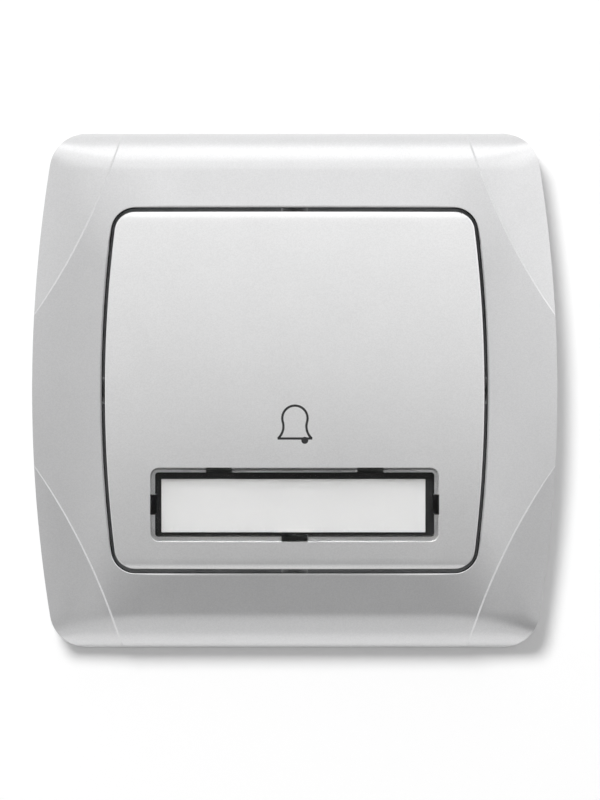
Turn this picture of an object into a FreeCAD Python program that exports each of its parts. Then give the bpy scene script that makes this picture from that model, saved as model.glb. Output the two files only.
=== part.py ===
import FreeCAD, Part
import math
import os

from FreeCAD import Vector

# Flush doorbell push button for a wall box. Sizes are in millimetres.
# X runs right, Z up, and the front faces -Y. The wall's face is the plane Y = 0.
# Heights are measured from the wall towards the front, and depths from the wall backwards.

# Cover frame
FRAME_WIDTH = 84.0
FRAME_HEIGHT = 82.4
FRAME_BOW_RADIUS = 230.0
FRAME_CORNER_RADIUS = 6.1
FRAME_WALL = 1.9
ROLL_RADIUS = 7.0
BAND_SLOPE = 8.0
RIM_HEIGHT = 9.0
SIDE_CROWN_RADIUS = 56.0
OPENING_WIDTH = 61.64
OPENING_HEIGHT = 58.4
OPENING_CORNER_RADIUS = 3.85
OPENING_EDGE = 0.25
COLLAR_WALL = 1.3
COLLAR_BACK = 3.7
FRAME_RIB_THICKNESS = 1.0
SIDE_RIB_Z = 10.0
END_RIB_X = 24.6

# Creases that part the corner scallops from the middle of the frame
CREASE_TOP_X = 27.7
CREASE_SIDE_Z = 12.2
CREASE_RADIUS = 102.0
CREASE_STEP = 0.3
SCALLOP_SLOPE = 21.0
SCALLOP_STATIONS = 9
SCALLOP_OVERRUN = 0.14
SCALLOP_LIFT = 4.0
CREASE_FADE = 0.8

# Rocker
ROCKER_SIDE_GAP = 0.57
ROCKER_END_GAP = 0.63
ROCKER_HEIGHT = 10.55
ROCKER_CROWN_RADIUS = 340.0
ROCKER_CROSS_RADIUS = 700.0
ROCKER_END_ROLL_RADIUS = 2.2
ROCKER_END_ROLL = 1.1
ROCKER_EDGE_RADIUS = 0.3
ROCKER_SKIN = 1.8
ROCKER_WALL = 1.4
ROCKER_BACK = 4.3
ROCKER_RIB_THICKNESS = 1.2
ROCKER_RIB_X = 13.0

# Name card window, with its tray behind the rocker
LABEL_Z = -18.26
RECESS_DEPTH = 0.9
RECESS_CORNER_RADIUS = 1.4
WINDOW_LEDGE = 0.8
WINDOW_CORNER_RADIUS = 0.5
NOTCH_OVERLAP = 0.2
COVER_CLEARANCE = 0.1
TAB_LONG = 4.2
TAB_SHORT = 3.2
TOP_TAB_X = 12.07
SIDE_TAB_Z = 0.0
TAB_THICKNESS = 0.6
TAB_BARB = 0.5
TAB_WALL_GAP = 0.05
SEAT_DEPTH = 2.3
SEAT_MARGIN = 1.4
SEAT_CORNER_RADIUS = 1.5
TRAY_DEPTH = 0.7
TRAY_FLOOR = 1.0
CARD_WIDTH = 42.1
CARD_HEIGHT = 8.5
CARD_THICKNESS = 0.3
CARD_SIDE_MARGIN = 1.2
CARD_END_MARGIN = 0.9
CARD_SHIFT_X = -0.2
CARD_SHIFT_Z = -0.3

# Mounting plate
PLATE_SIDE_MARGIN = 6.5
PLATE_END_MARGIN = 5.7
PLATE_THICKNESS = 1.0
PLATE_CORNER_CUT = 9.0
PLATE_CUTOUT_HEIGHT = 25.0
SCREW_SPACING = 60.0
SLOT_LENGTH = 7.0
SLOT_WIDTH = 4.2
EAR_X = 16.0
EAR_WIDTH = 11.0
EAR_RAISE = 2.2
EAR_GAP = 0.4
EAR_LENGTH = 5.2
EAR_WINDOW_LEDGE = 0.3
EAR_CLEARANCE = 0.5

# Snap legs of the frame, which catch behind the plate's ears
SNAP_WIDTH = 6.0
SNAP_THICKNESS = 1.2
SNAP_BARB = 0.7
SNAP_TIP_HEIGHT = 0.5
SNAP_CLEARANCE = 0.15
SNAP_SIDE_CLEARANCE = 0.4
BARB_LEAD = 0.3
BARB_FLAT = 0.3

# Rocker carrier and its bearings
PIVOT_HEIGHT = 2.6
TRUNNION_RADIUS = 1.5
BEARING_CLEARANCE = 0.05
BEARING_INSIDE_X = 15.0
BEARING_THICKNESS = 3.6
BEARING_HALF_WIDTH = 3.4
BEARING_WALL = 0.8
BEARING_EDGE_RADIUS = 0.8
BEARING_MOUTH = 0.85
HUB_SIDE_PLAY = 0.35
HUB_HALF_HEIGHT = 2.3
CARRIER_PLATE_BACK = 4.95
CARRIER_PLATE_THICKNESS = 1.5
CARRIER_PLATE_HALF_HEIGHT = 9.5
CARRIER_CORNER_RADIUS = 1.5
CLIP_X = 9.0
CLIP_Z = 7.4
CLIP_WIDTH = 4.0
CLIP_THICKNESS = 1.2
CLIP_BARB = 0.5
CLIP_TIP = 0.8
CLIP_CLEARANCE = 0.15
LEG_WIDTH = 7.0
LEG_THICKNESS = 3.2
LEG_DEPTH = 12.6

# Contacts
BRIDGE_WIDTH = 20.4
BRIDGE_LENGTH = 2.8
BRIDGE_THICKNESS = 0.8
CONTACT_X = 8.6
CONTACT_DEPTH = 11.0
CONTACT_TIP_WIDTH = 2.4
CONTACT_TIP = 0.5
CONTACT_GAP = 1.15
STAKE_WIDTH = 1.6
STAKE_HEAD = 0.4
STRIP_THICKNESS = 0.8
STRIP_WIDTH = 4.0

# Return spring
SPRING_DEPTH = 5.4
SPRING_RADIUS = 2.1
SPRING_WIRE = 0.45
SPRING_TURNS = 3.0
SPRING_STATIONS = 16
SPRING_SEAT_GAP = 0.1
SPRING_SPIGOT_RADIUS = 1.3
SPRING_SPIGOT_LENGTH = 1.6

# Mechanism housing
COVER_WIDTH = 37.2
COVER_HEIGHT = 42.0
COVER_THICKNESS = 2.0
COVER_CORNER_RADIUS = 2.5
COVER_WINDOW_HALF_HEIGHT = 3.6
BASE_WIDTH = 39.0
BASE_HEIGHT = 44.0
BASE_DEPTH = 22.0
BASE_CORNER_RADIUS = 3.0
BASE_REAR_WALL = 2.2
CAVITY_HALF_WIDTH = 13.6
CAVITY_BOTTOM = -12.5
CAVITY_TOP = 9.6
CAVITY_DEPTH = 18.4
POCKET_WIDTH = 22.0
POCKET_HEIGHT = 5.0
POCKET_DEPTH = 16.0
HOOK_SIDE_MARGIN = 3.0
HOOK_END_MARGIN = 4.2
HOOK_WIDTH = 3.2
HOOK_THICKNESS = 1.6
HOOK_BARB = 0.5
HOOK_HEAD = 1.2
HOOK_ROOT_DEPTH = 6.0
HOOK_CLEARANCE = 0.1

# Terminals
TERMINAL_WIDTH = 7.6
TERMINAL_BOTTOM = 13.0
TERMINAL_HEIGHT = 7.2
TERMINAL_FRONT_DEPTH = 12.4
TERMINAL_CLEARANCE = 0.15
WIRE_BORE_RADIUS = 1.3
WIRE_BORE_LENGTH = 6.6
WIRE_HOLE_RADIUS = 1.9
TERMINAL_SCREW_RADIUS = 1.2
TERMINAL_SCREW_HEAD_RADIUS = 2.0
TERMINAL_SCREW_HEAD = 1.3
TERMINAL_SCREW_SLOT = 0.7
SCREW_ACCESS_WIDTH = 4.8

# Claws, with their nuts and screws
CLAW_SCREW_X = 23.0
CLAW_SCREW_RADIUS = 1.5
CLAW_SCREW_CLEARANCE = 0.05
CLAW_SCREW_LENGTH = 21.0
CLAW_HEAD_RADIUS = 2.75
CLAW_HEAD = 2.1
CLAW_RECESS = 0.8
CLAW_RECESS_REACH = 1.8
CLAW_HOLE_RADIUS = 1.7
CHANNEL_HALF_HEIGHT = 5.2
CHANNEL_FLOOR_X = 16.3
CLAW_TRAVEL = 6.0
CLAW_SPREAD = 3.0
CLAW_HALF_HEIGHT = 4.5
CLAW_THICKNESS = 1.2
CLAW_FOOT_DEPTH = 16.9
CLAW_FOOT_INNER_X = 17.5
CLAW_ARM_X = 26.6
CLAW_ARM_DEPTH = 7.3
CLAW_TOOTH = 1.9
CLAW_TEETH = 3
CLAW_TOOTH_ROOT = 0.4
CLAW_TOOTH_SHARE = 0.45
CLAW_CLEARANCE = 0.1
NUT_LENGTH = 5.4
NUT_THICKNESS = 2.4

# Measures that follow from the sizes above
HALF_WIDTH = FRAME_WIDTH / 2
HALF_HEIGHT = FRAME_HEIGHT / 2
SIDE_BAND = (FRAME_WIDTH - OPENING_WIDTH) / 2
OPENING_BOW_RADIUS = FRAME_BOW_RADIUS - SIDE_BAND
RECESS_WIDTH = CARD_WIDTH + 2 * (CARD_SIDE_MARGIN + WINDOW_LEDGE)
RECESS_HEIGHT = CARD_HEIGHT + 2 * (CARD_END_MARGIN + WINDOW_LEDGE)
ROCKER_WIDTH = OPENING_WIDTH - 2 * ROCKER_SIDE_GAP
ROCKER_LENGTH = OPENING_HEIGHT - 2 * ROCKER_END_GAP
ROCKER_BOW_RADIUS = OPENING_BOW_RADIUS - ROCKER_SIDE_GAP
ROCKER_CORNER_RADIUS = OPENING_CORNER_RADIUS - ROCKER_SIDE_GAP
PLATE_HALF_WIDTH = HALF_WIDTH - PLATE_SIDE_MARGIN
PLATE_HALF_HEIGHT = HALF_HEIGHT - PLATE_END_MARGIN
EAR_START = OPENING_HEIGHT / 2 + EAR_GAP
EAR_WINDOW_START = EAR_START + PLATE_THICKNESS + EAR_WINDOW_LEDGE
COVER_FRONT = PLATE_THICKNESS + COVER_THICKNESS
HOOK_X = COVER_WIDTH / 2 - HOOK_SIDE_MARGIN
HOOK_Z = COVER_HEIGHT / 2 - HOOK_END_MARGIN
CARRIER_PLATE_FRONT = CARRIER_PLATE_BACK + CARRIER_PLATE_THICKNESS
HUB_HALF_WIDTH = BEARING_INSIDE_X - HUB_SIDE_PLAY
BEARING_FRONT = PIVOT_HEIGHT + TRUNNION_RADIUS + BEARING_CLEARANCE + BEARING_WALL
LEG_TOP = LEG_THICKNESS / 2
BRIDGE_TOP = LEG_TOP + BRIDGE_THICKNESS
FIXED_TIP_Z = BRIDGE_TOP + CONTACT_TIP + CONTACT_GAP
STRIP_BOTTOM = FIXED_TIP_Z + CONTACT_TIP
NUT_DEPTH = CLAW_FOOT_DEPTH + CLAW_THICKNESS + CLAW_CLEARANCE
ABOVE = 30.0


def at(x, height, z):
    """A point given by its height in front of the wall."""
    return Vector(x, -height, z)


def block(x0, x1, low, high, z0, z1):
    """A block between two heights in front of the wall. Negative heights lie behind it."""
    return Part.makeBox(x1 - x0, high - low, z1 - z0, Vector(x0, -high, z0))


def rod(radius, x, z, low, high):
    """A round bar square to the wall, between two heights."""
    return Part.makeCylinder(radius, high - low, at(x, high, z), Vector(0, 1, 0))


def mirrored(shape):
    """The same piece on the other side of the middle plane."""
    return shape.mirror(Vector(0, 0, 0), Vector(1, 0, 0))


def extruded(points, direction):
    """A straight-sided prism on an outline of points."""
    return Part.Face(Part.makePolygon(points + points[:1])).extrude(direction)


def wire_face(edges):
    return Part.Face(Part.Wire(edges))


def edges_across_wall(solid):
    """The edges that stand square to the wall."""
    found = []
    for edge in solid.Edges:
        box = edge.BoundBox
        if box.XLength < 1e-6 and box.ZLength < 1e-6:
            found.append(edge)
    return found


def rounded_block(width, height, low, high, radius):
    solid = block(-width / 2, width / 2, low, high, -height / 2, height / 2)
    return solid.makeFillet(radius, edges_across_wall(solid))


def bowed_prism(width, height, bow_radius, corner_radius, low, high):
    """A plate with straight top and bottom edges and bowed sides, between two heights."""
    z = height / 2
    x = width / 2 - bow_radius + math.sqrt(bow_radius**2 - z**2)
    top = Part.makeLine(at(-x, low, z), at(x, low, z))
    right = Part.Arc(at(x, low, z), at(width / 2, low, 0), at(x, low, -z)).toShape()
    bottom = Part.makeLine(at(x, low, -z), at(-x, low, -z))
    left = Part.Arc(at(-x, low, -z), at(-width / 2, low, 0), at(-x, low, z)).toShape()
    solid = wire_face([top, right, bottom, left]).extrude(Vector(0, low - high, 0))
    return solid.makeFillet(corner_radius, edges_across_wall(solid))


def band_height(z):
    """Height of the sloping top and bottom bands, before they roll off."""
    slope = math.tan(math.radians(BAND_SLOPE))
    return RIM_HEIGHT - (abs(z) - OPENING_HEIGHT / 2) * slope


def side_height(x, z):
    """Height of the crowned side bands, before their edge is rounded."""
    from_axis = math.hypot(abs(x) + FRAME_BOW_RADIUS - HALF_WIDTH, z)
    out = from_axis - OPENING_BOW_RADIUS
    rim_angle = math.radians(BAND_SLOPE)
    offset = SIDE_CROWN_RADIUS * math.sin(rim_angle) + out
    drop = math.cos(rim_angle) * SIDE_CROWN_RADIUS - math.sqrt(SIDE_CROWN_RADIUS**2 - offset**2)
    return RIM_HEIGHT - drop


def roll_profile(inset):
    """The frame seen from its side: two sloping bands that roll off at the ends."""
    slope = math.radians(BAND_SLOPE)
    radius = ROLL_RADIUS - inset
    centre_z = HALF_HEIGHT - ROLL_RADIUS
    centre_h = band_height(centre_z) - ROLL_RADIUS / math.cos(slope)
    edge_z = centre_z + radius
    half_turn = (math.pi / 2 - slope) / 2
    middle = (centre_z + radius * math.cos(half_turn), centre_h + radius * math.sin(half_turn))
    tangent = (centre_z + radius * math.sin(slope), centre_h + radius * math.cos(slope))
    peak = band_height(0) - inset / math.cos(slope)
    edges = [
        Part.makeLine(at(0, 0, -edge_z), at(0, 0, edge_z)),
        Part.makeLine(at(0, 0, edge_z), at(0, centre_h, edge_z)),
        Part.Arc(
            at(0, centre_h, edge_z), at(0, middle[1], middle[0]), at(0, tangent[1], tangent[0])
        ).toShape(),
        Part.makeLine(at(0, tangent[1], tangent[0]), at(0, peak, 0)),
        Part.makeLine(at(0, peak, 0), at(0, tangent[1], -tangent[0])),
        Part.Arc(
            at(0, tangent[1], -tangent[0]), at(0, middle[1], -middle[0]), at(0, centre_h, -edge_z)
        ).toShape(),
        Part.makeLine(at(0, centre_h, -edge_z), at(0, 0, -edge_z)),
    ]
    face = wire_face(edges)
    face.translate(Vector(-HALF_WIDTH - 1, 0, 0))
    return face.extrude(Vector(FRAME_WIDTH + 2, 0, 0))


def side_body(inset):
    """All that lies inside the crowned right side, turned about the axis of its bow."""
    crown = SIDE_CROWN_RADIUS - inset
    rim_angle = math.radians(BAND_SLOPE)
    crown_x = HALF_WIDTH - SIDE_BAND - SIDE_CROWN_RADIUS * math.sin(rim_angle)
    crown_h = RIM_HEIGHT - SIDE_CROWN_RADIUS * math.cos(rim_angle)
    wall_x = HALF_WIDTH - inset
    wall_h = crown_h + math.sqrt(crown**2 - (wall_x - crown_x) ** 2)
    half = (math.pi / 2 + math.atan2(wall_h - crown_h, wall_x - crown_x)) / 2
    middle = (crown_x + crown * math.cos(half), crown_h + crown * math.sin(half))
    top = crown_h + crown
    far_x = -FRAME_WIDTH
    edges = [
        Part.makeLine(at(far_x, 0, 0), at(wall_x, 0, 0)),
        Part.makeLine(at(wall_x, 0, 0), at(wall_x, wall_h, 0)),
        Part.Arc(
            at(wall_x, wall_h, 0), at(middle[0], middle[1], 0), at(crown_x, top, 0)
        ).toShape(),
        Part.makeLine(at(crown_x, top, 0), at(far_x, top, 0)),
        Part.makeLine(at(far_x, top, 0), at(far_x, 0, 0)),
    ]
    axis = at(HALF_WIDTH - FRAME_BOW_RADIUS, 0, 0)
    sweep = 4 * math.degrees(math.asin(HALF_HEIGHT / FRAME_BOW_RADIUS))
    face = wire_face(edges)
    face.rotate(axis, Vector(0, 1, 0), -sweep / 2)
    return face.revolve(axis, Vector(0, 1, 0), sweep)


def frame_blank(inset):
    """The frame's solid outer form, or the form that lies a wall's thickness inside it."""
    outline = bowed_prism(
        FRAME_WIDTH - 2 * inset,
        FRAME_HEIGHT - 2 * inset,
        FRAME_BOW_RADIUS - inset,
        FRAME_CORNER_RADIUS - inset,
        0,
        band_height(0) + 1,
    )
    right = side_body(inset)
    return outline.common(roll_profile(inset)).common(right).common(mirrored(right))


def crease_centre():
    """The centre of the crease's arc at the upper right, outside the frame."""
    top = (CREASE_TOP_X, HALF_HEIGHT)
    side_x = HALF_WIDTH - FRAME_BOW_RADIUS + math.sqrt(FRAME_BOW_RADIUS**2 - CREASE_SIDE_Z**2)
    side = (side_x, CREASE_SIDE_Z)
    along = (side[0] - top[0], side[1] - top[1])
    chord = math.hypot(*along)
    rise = math.sqrt(CREASE_RADIUS**2 - (chord / 2) ** 2)
    middle = ((top[0] + side[0]) / 2, (top[1] + side[1]) / 2)
    centre = (middle[0] - along[1] / chord * rise, middle[1] + along[0] / chord * rise)
    start = math.atan2(top[1] - centre[1], top[0] - centre[0])
    end = math.atan2(side[1] - centre[1], side[0] - centre[0])
    return centre, start, end


def scallop_section(centre, angle, step):
    """One section across the crease: the riser at the crease, then the sloping facet."""
    x = centre[0] + CREASE_RADIUS * math.cos(angle)
    z = centre[1] + CREASE_RADIUS * math.sin(angle)
    foot = min(band_height(z), side_height(x, z)) - step
    reach = FRAME_CORNER_RADIUS + SIDE_BAND

    def section_point(out, height):
        share = (CREASE_RADIUS - out) / CREASE_RADIUS
        return at(
            centre[0] + (x - centre[0]) * share, height, centre[1] + (z - centre[1]) * share
        )

    fall = reach * math.tan(math.radians(SCALLOP_SLOPE))
    points = [
        section_point(0, foot),
        section_point(reach, foot - fall),
        section_point(reach, ABOVE),
        section_point(-SCALLOP_LIFT, ABOVE),
        section_point(-SCALLOP_LIFT, foot + SCALLOP_LIFT),
    ]
    return Part.makePolygon(points + points[:1])


def corner_scallop():
    """What is cut away outside the crease at the upper right corner."""
    centre, start, end = crease_centre()
    beyond = (end - start) * SCALLOP_OVERRUN
    sections = []
    for station in range(SCALLOP_STATIONS):
        share = station / (SCALLOP_STATIONS - 1)
        angle = start - beyond + share * (end - start + 2 * beyond)
        fade = 1 - CREASE_FADE * share**3
        sections.append(scallop_section(centre, angle, CREASE_STEP * fade))
    return Part.makeLoft(sections, True, False)


def four_corners(shape):
    """A piece of the upper right corner and its copies in the other three."""
    up = Vector(0, 0, 1)
    pair = [shape, mirrored(shape)]
    return pair + [one.mirror(Vector(0, 0, 0), up) for one in pair]


def barbed_leg(root, catch, tip, inner, thickness, barb, width):
    """A snap leg between two heights, with a barb on its upper side that looks to its root."""
    outer = inner + thickness
    profile = [
        at(0, root, inner),
        at(0, tip, inner),
        at(0, tip, outer - BARB_LEAD),
        at(0, catch + math.copysign(BARB_FLAT, tip - root), outer + barb),
        at(0, catch, outer + barb),
        at(0, catch, outer),
        at(0, root, outer),
    ]
    leg = extruded(profile, Vector(width, 0, 0))
    leg.translate(Vector(-width / 2, 0, 0))
    return leg


def frame_snaps():
    """The four legs that catch behind the ears of the mounting plate."""
    inner = EAR_WINDOW_START + SNAP_CLEARANCE
    catch = EAR_RAISE - SNAP_CLEARANCE
    leg = barbed_leg(
        RIM_HEIGHT, catch, SNAP_TIP_HEIGHT, inner, SNAP_THICKNESS, SNAP_BARB, SNAP_WIDTH
    )
    leg.translate(Vector(EAR_X, 0, 0))
    return four_corners(leg)


def frame_ribs():
    """Stiffening ribs between the collar and the outer wall."""
    half = FRAME_RIB_THICKNESS / 2
    x = END_RIB_X
    z = SIDE_RIB_Z
    side_rib = block(
        OPENING_WIDTH / 2, HALF_WIDTH, COLLAR_BACK, ABOVE, z - half, z + half
    )
    end_rib = block(
        x - half, x + half, COLLAR_BACK, ABOVE, OPENING_HEIGHT / 2, HALF_HEIGHT
    )
    return four_corners(side_rib) + four_corners(end_rib)


def cover_frame():
    scallops = four_corners(corner_scallop())
    outer = frame_body(0, scallops)
    cavity = frame_body(FRAME_WALL, scallops)
    core = frame_body(FRAME_WALL / 2, scallops)
    collar = bowed_prism(
        OPENING_WIDTH + 2 * COLLAR_WALL,
        OPENING_HEIGHT + 2 * COLLAR_WALL,
        OPENING_BOW_RADIUS + COLLAR_WALL,
        OPENING_CORNER_RADIUS + COLLAR_WALL,
        COLLAR_BACK,
        ABOVE,
    )
    inner = [collar] + frame_snaps() + frame_ribs()
    frame = outer.cut(cavity).fuse([piece.common(core) for piece in inner])
    opening = bowed_prism(
        OPENING_WIDTH,
        OPENING_HEIGHT,
        OPENING_BOW_RADIUS,
        OPENING_CORNER_RADIUS,
        -1,
        ABOVE,
    )
    return frame.cut([opening, opening_chamfer()]).removeSplitter()


def opening_chamfer():
    """The flare that takes the sharp edge off the opening's rim."""
    rims = []
    for grow in (-OPENING_EDGE, 4 * OPENING_EDGE):
        height = RIM_HEIGHT + grow
        plate = bowed_prism(
            OPENING_WIDTH + 2 * (grow + OPENING_EDGE),
            OPENING_HEIGHT + 2 * (grow + OPENING_EDGE),
            OPENING_BOW_RADIUS + grow + OPENING_EDGE,
            OPENING_CORNER_RADIUS + grow + OPENING_EDGE,
            height,
            height + 1,
        )
        back = [face for face in plate.Faces if face.BoundBox.YMin > -height - 0.001]
        rims.append(back[0].OuterWire)
    return Part.makeLoft(rims, True, True)


def frame_body(inset, scallops):
    """The scalloped form of the frame, or the form that lies an inset inside it."""
    tools = []
    for scallop in scallops:
        tool = scallop.copy()
        tool.translate(Vector(0, inset, 0))
        tools.append(tool)
    return frame_blank(inset).cut(tools)


def crown_body(drop):
    """All that lies under the rocker's doubly curved front, lowered by a skin's thickness."""
    radius = ROCKER_CROWN_RADIUS - drop
    top_h = ROCKER_HEIGHT - drop
    end_z = OPENING_HEIGHT / 2 + 1
    end_h = top_h - radius + math.sqrt(radius**2 - end_z**2)
    edges = [
        Part.makeLine(at(0, 0, -end_z), at(0, 0, end_z)),
        Part.makeLine(at(0, 0, end_z), at(0, end_h, end_z)),
        Part.Arc(at(0, end_h, end_z), at(0, top_h, 0), at(0, end_h, -end_z)).toShape(),
        Part.makeLine(at(0, end_h, -end_z), at(0, 0, -end_z)),
    ]
    return turned_across(wire_face(edges))


def inner_crown():
    """All that lies under the inner face of the rocker's skin, which is curved one way only."""
    radius = ROCKER_CROWN_RADIUS - ROCKER_SKIN
    top_h = ROCKER_HEIGHT - ROCKER_SKIN
    centre = at(-HALF_WIDTH, top_h - radius, 0)
    return Part.makeCylinder(radius, FRAME_WIDTH, centre, Vector(1, 0, 0))


def turned_across(face):
    """Turns a section in the middle plane about the upright axis of the rocker's cross crown."""
    axis = at(0, ROCKER_HEIGHT - ROCKER_CROSS_RADIUS, 0)
    sweep = 2 * math.degrees(OPENING_WIDTH / 2 / (ROCKER_CROSS_RADIUS - ROCKER_HEIGHT)) + 1
    face.rotate(axis, Vector(0, 0, 1), -sweep / 2)
    return face.revolve(axis, Vector(0, 0, 1), sweep)


def end_roll():
    """What is cut from the rocker's top edge so that the front rolls off towards the gap."""
    start_z = ROCKER_LENGTH / 2 - ROCKER_END_ROLL
    lean = math.asin(start_z / ROCKER_CROWN_RADIUS)
    start_h = ROCKER_HEIGHT - ROCKER_CROWN_RADIUS * (1 - math.cos(lean))
    centre_z = start_z - ROCKER_END_ROLL_RADIUS * math.sin(lean)
    centre_h = start_h - ROCKER_END_ROLL_RADIUS * math.cos(lean)
    turn = math.pi / 2

    def roll_point(angle):
        out = ROCKER_END_ROLL_RADIUS
        return at(0, centre_h + out * math.cos(angle), centre_z + out * math.sin(angle))

    far_z = centre_z + ROCKER_END_ROLL_RADIUS
    above = ROCKER_HEIGHT + 1
    edges = [
        Part.Arc(roll_point(lean), roll_point((lean + turn) / 2), roll_point(turn)).toShape(),
        Part.makeLine(roll_point(turn), at(0, above, far_z)),
        Part.makeLine(at(0, above, far_z), at(0, above, start_z)),
        Part.makeLine(at(0, above, start_z), roll_point(lean)),
    ]
    return turned_across(wire_face(edges))


def rocker_prism(inset, low):
    return bowed_prism(
        ROCKER_WIDTH - 2 * inset,
        ROCKER_LENGTH - 2 * inset,
        ROCKER_BOW_RADIUS - inset,
        ROCKER_CORNER_RADIUS - inset,
        low,
        ROCKER_HEIGHT + 1,
    )


def in_label_place(shape):
    """Tilts a piece made flat at the origin to lie under the crown at the label window."""
    tilt = math.asin(-LABEL_Z / ROCKER_CROWN_RADIUS)
    placed = shape.copy()
    placed.rotate(Vector(0, 0, 0), Vector(1, 0, 0), math.degrees(tilt))
    height = ROCKER_HEIGHT - ROCKER_CROWN_RADIUS * (1 - math.cos(tilt))
    placed.translate(at(0, height, LABEL_Z))
    return placed


def label_plate(width, height, radius, near, far):
    """A flat plate between two depths under the crown, with rounded corners."""
    return rounded_block(width, height, -far, -near, radius)


def tab_places():
    """Where the five clip tabs pass through the ledge: place, width and direction outwards."""
    half_h = RECESS_HEIGHT / 2
    half_w = RECESS_WIDTH / 2
    return [
        (-TOP_TAB_X, half_h, TAB_LONG, (0, 1)),
        (TOP_TAB_X, half_h, TAB_LONG, (0, 1)),
        (0, -half_h, TAB_LONG, (0, -1)),
        (-half_w, SIDE_TAB_Z, TAB_SHORT, (-1, 0)),
        (half_w, SIDE_TAB_Z, TAB_SHORT, (1, 0)),
    ]


def tab_block(place, clearance, inner, outer, near, far):
    """A block at one clip tab, from inner to outer short of the recess wall."""
    x, z, width, (out_x, out_z) = place
    half = width / 2 + clearance
    if out_z:
        z0, z1 = sorted((z - out_z * inner, z - out_z * outer))
        return block(x - half, x + half, -far, -near, z0, z1)
    x0, x1 = sorted((x - out_x * inner, x - out_x * outer))
    return block(x0, x1, -far, -near, z - half, z + half)


def label_notches(near, far):
    """The notches that let the clip tabs through, flush with the recess walls."""
    inner = WINDOW_LEDGE + NOTCH_OVERLAP
    return [tab_block(place, 0, inner, 0, near, far) for place in tab_places()]


def rocker():
    shell = rocker_prism(0, ROCKER_BACK).common(crown_body(0))
    wall_top = ROCKER_BACK + (ROCKER_HEIGHT - ROCKER_BACK) / 2
    rim = [edge for edge in shell.Edges if edge.BoundBox.YMax < -wall_top]
    shell = shell.makeChamfer(ROCKER_EDGE_RADIUS, rim)
    top_roll = end_roll()
    shell = shell.cut([top_roll, top_roll.mirror(Vector(0, 0, 0), Vector(0, 0, 1))])
    hollow = rocker_prism(ROCKER_WALL, ROCKER_BACK - 1).common(inner_crown())
    seat_width = RECESS_WIDTH + 2 * SEAT_MARGIN
    seat_height = RECESS_HEIGHT + 2 * SEAT_MARGIN
    seat = in_label_place(
        label_plate(seat_width, seat_height, SEAT_CORNER_RADIUS, RECESS_DEPTH, SEAT_DEPTH)
    )
    shell = shell.cut(hollow).fuse([seat.common(crown_body(0))] + rocker_inner_parts())
    recess = label_recess(0, RECESS_DEPTH)
    window_width = RECESS_WIDTH - 2 * WINDOW_LEDGE
    window_height = RECESS_HEIGHT - 2 * WINDOW_LEDGE
    window = label_plate(window_width, window_height, WINDOW_CORNER_RADIUS, -2, SEAT_DEPTH + 1)
    cuts = [in_label_place(one) for one in [window] + label_notches(-2, SEAT_DEPTH + 1)]
    return shell.cut([recess] + cuts).removeSplitter()


def label_recess(clearance, depth):
    """The flat-floored space of the label window's recess, open to the front."""
    width = RECESS_WIDTH - 2 * clearance
    height = RECESS_HEIGHT - 2 * clearance
    radius = RECESS_CORNER_RADIUS - clearance
    return in_label_place(label_plate(width, height, radius, -ABOVE, depth))


def rocker_inner_parts():
    """The ribs that rest on the carrier, and the four legs that clip to it."""
    under = crown_body(ROCKER_SKIN / 2)
    parts = []
    half = ROCKER_RIB_THICKNESS / 2
    for x in (-ROCKER_RIB_X, ROCKER_RIB_X):
        parts.append(
            block(
                x - half,
                x + half,
                CARRIER_PLATE_FRONT,
                ROCKER_HEIGHT,
                -CARRIER_PLATE_HALF_HEIGHT,
                CARRIER_PLATE_HALF_HEIGHT,
            )
        )
    catch = CARRIER_PLATE_BACK - CLIP_CLEARANCE
    inner = CLIP_Z - CLIP_THICKNESS / 2
    leg = barbed_leg(
        ROCKER_HEIGHT, catch, catch - CLIP_TIP, inner, CLIP_THICKNESS, CLIP_BARB, CLIP_WIDTH
    )
    leg.translate(Vector(CLIP_X, 0, 0))
    parts += four_corners(leg)
    return [part.common(under) for part in parts]


def label_cover():
    """The clear window, flush with the crown, with five clip tabs behind its edge."""
    thickness = RECESS_DEPTH - COVER_CLEARANCE
    pane = label_recess(COVER_CLEARANCE, thickness).common(crown_body(0))
    reach = SEAT_DEPTH + TRAY_DEPTH + TRAY_FLOOR + COVER_CLEARANCE
    tabs = []
    for place in tab_places():
        outer = COVER_CLEARANCE + TAB_WALL_GAP
        inner = outer + TAB_THICKNESS
        tabs.append(
            tab_block(place, -COVER_CLEARANCE, inner, outer, thickness / 2, reach + TAB_BARB)
        )
        barb = tab_block(place, -COVER_CLEARANCE, inner, -TAB_BARB, reach, reach + TAB_BARB)
        tabs.append(barb)
    return pane.fuse([in_label_place(tab) for tab in tabs]).removeSplitter()


def label_tray():
    """The black tray behind the window, with a pocket for the card."""
    width = RECESS_WIDTH + 2 * SEAT_MARGIN
    height = RECESS_HEIGHT + 2 * SEAT_MARGIN
    back = SEAT_DEPTH + TRAY_DEPTH + TRAY_FLOOR
    tray = label_plate(width, height, SEAT_CORNER_RADIUS, SEAT_DEPTH, back)
    pocket_width = RECESS_WIDTH - 2 * WINDOW_LEDGE
    pocket_height = RECESS_HEIGHT - 2 * WINDOW_LEDGE
    floor = SEAT_DEPTH + TRAY_DEPTH
    pocket = label_plate(
        pocket_width, pocket_height, WINDOW_CORNER_RADIUS, SEAT_DEPTH - 1, floor
    )
    return in_label_place(tray.cut([pocket] + label_notches(SEAT_DEPTH - 1, back + 1)))


def label_card():
    """The blank card, lying a little low and left in its pocket as the photograph shows."""
    floor = SEAT_DEPTH + TRAY_DEPTH
    half_w = CARD_WIDTH / 2
    half_h = CARD_HEIGHT / 2
    card = block(-half_w, half_w, -floor, CARD_THICKNESS - floor, -half_h, half_h)
    card.translate(Vector(CARD_SHIFT_X, 0, CARD_SHIFT_Z))
    return in_label_place(card)


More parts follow.
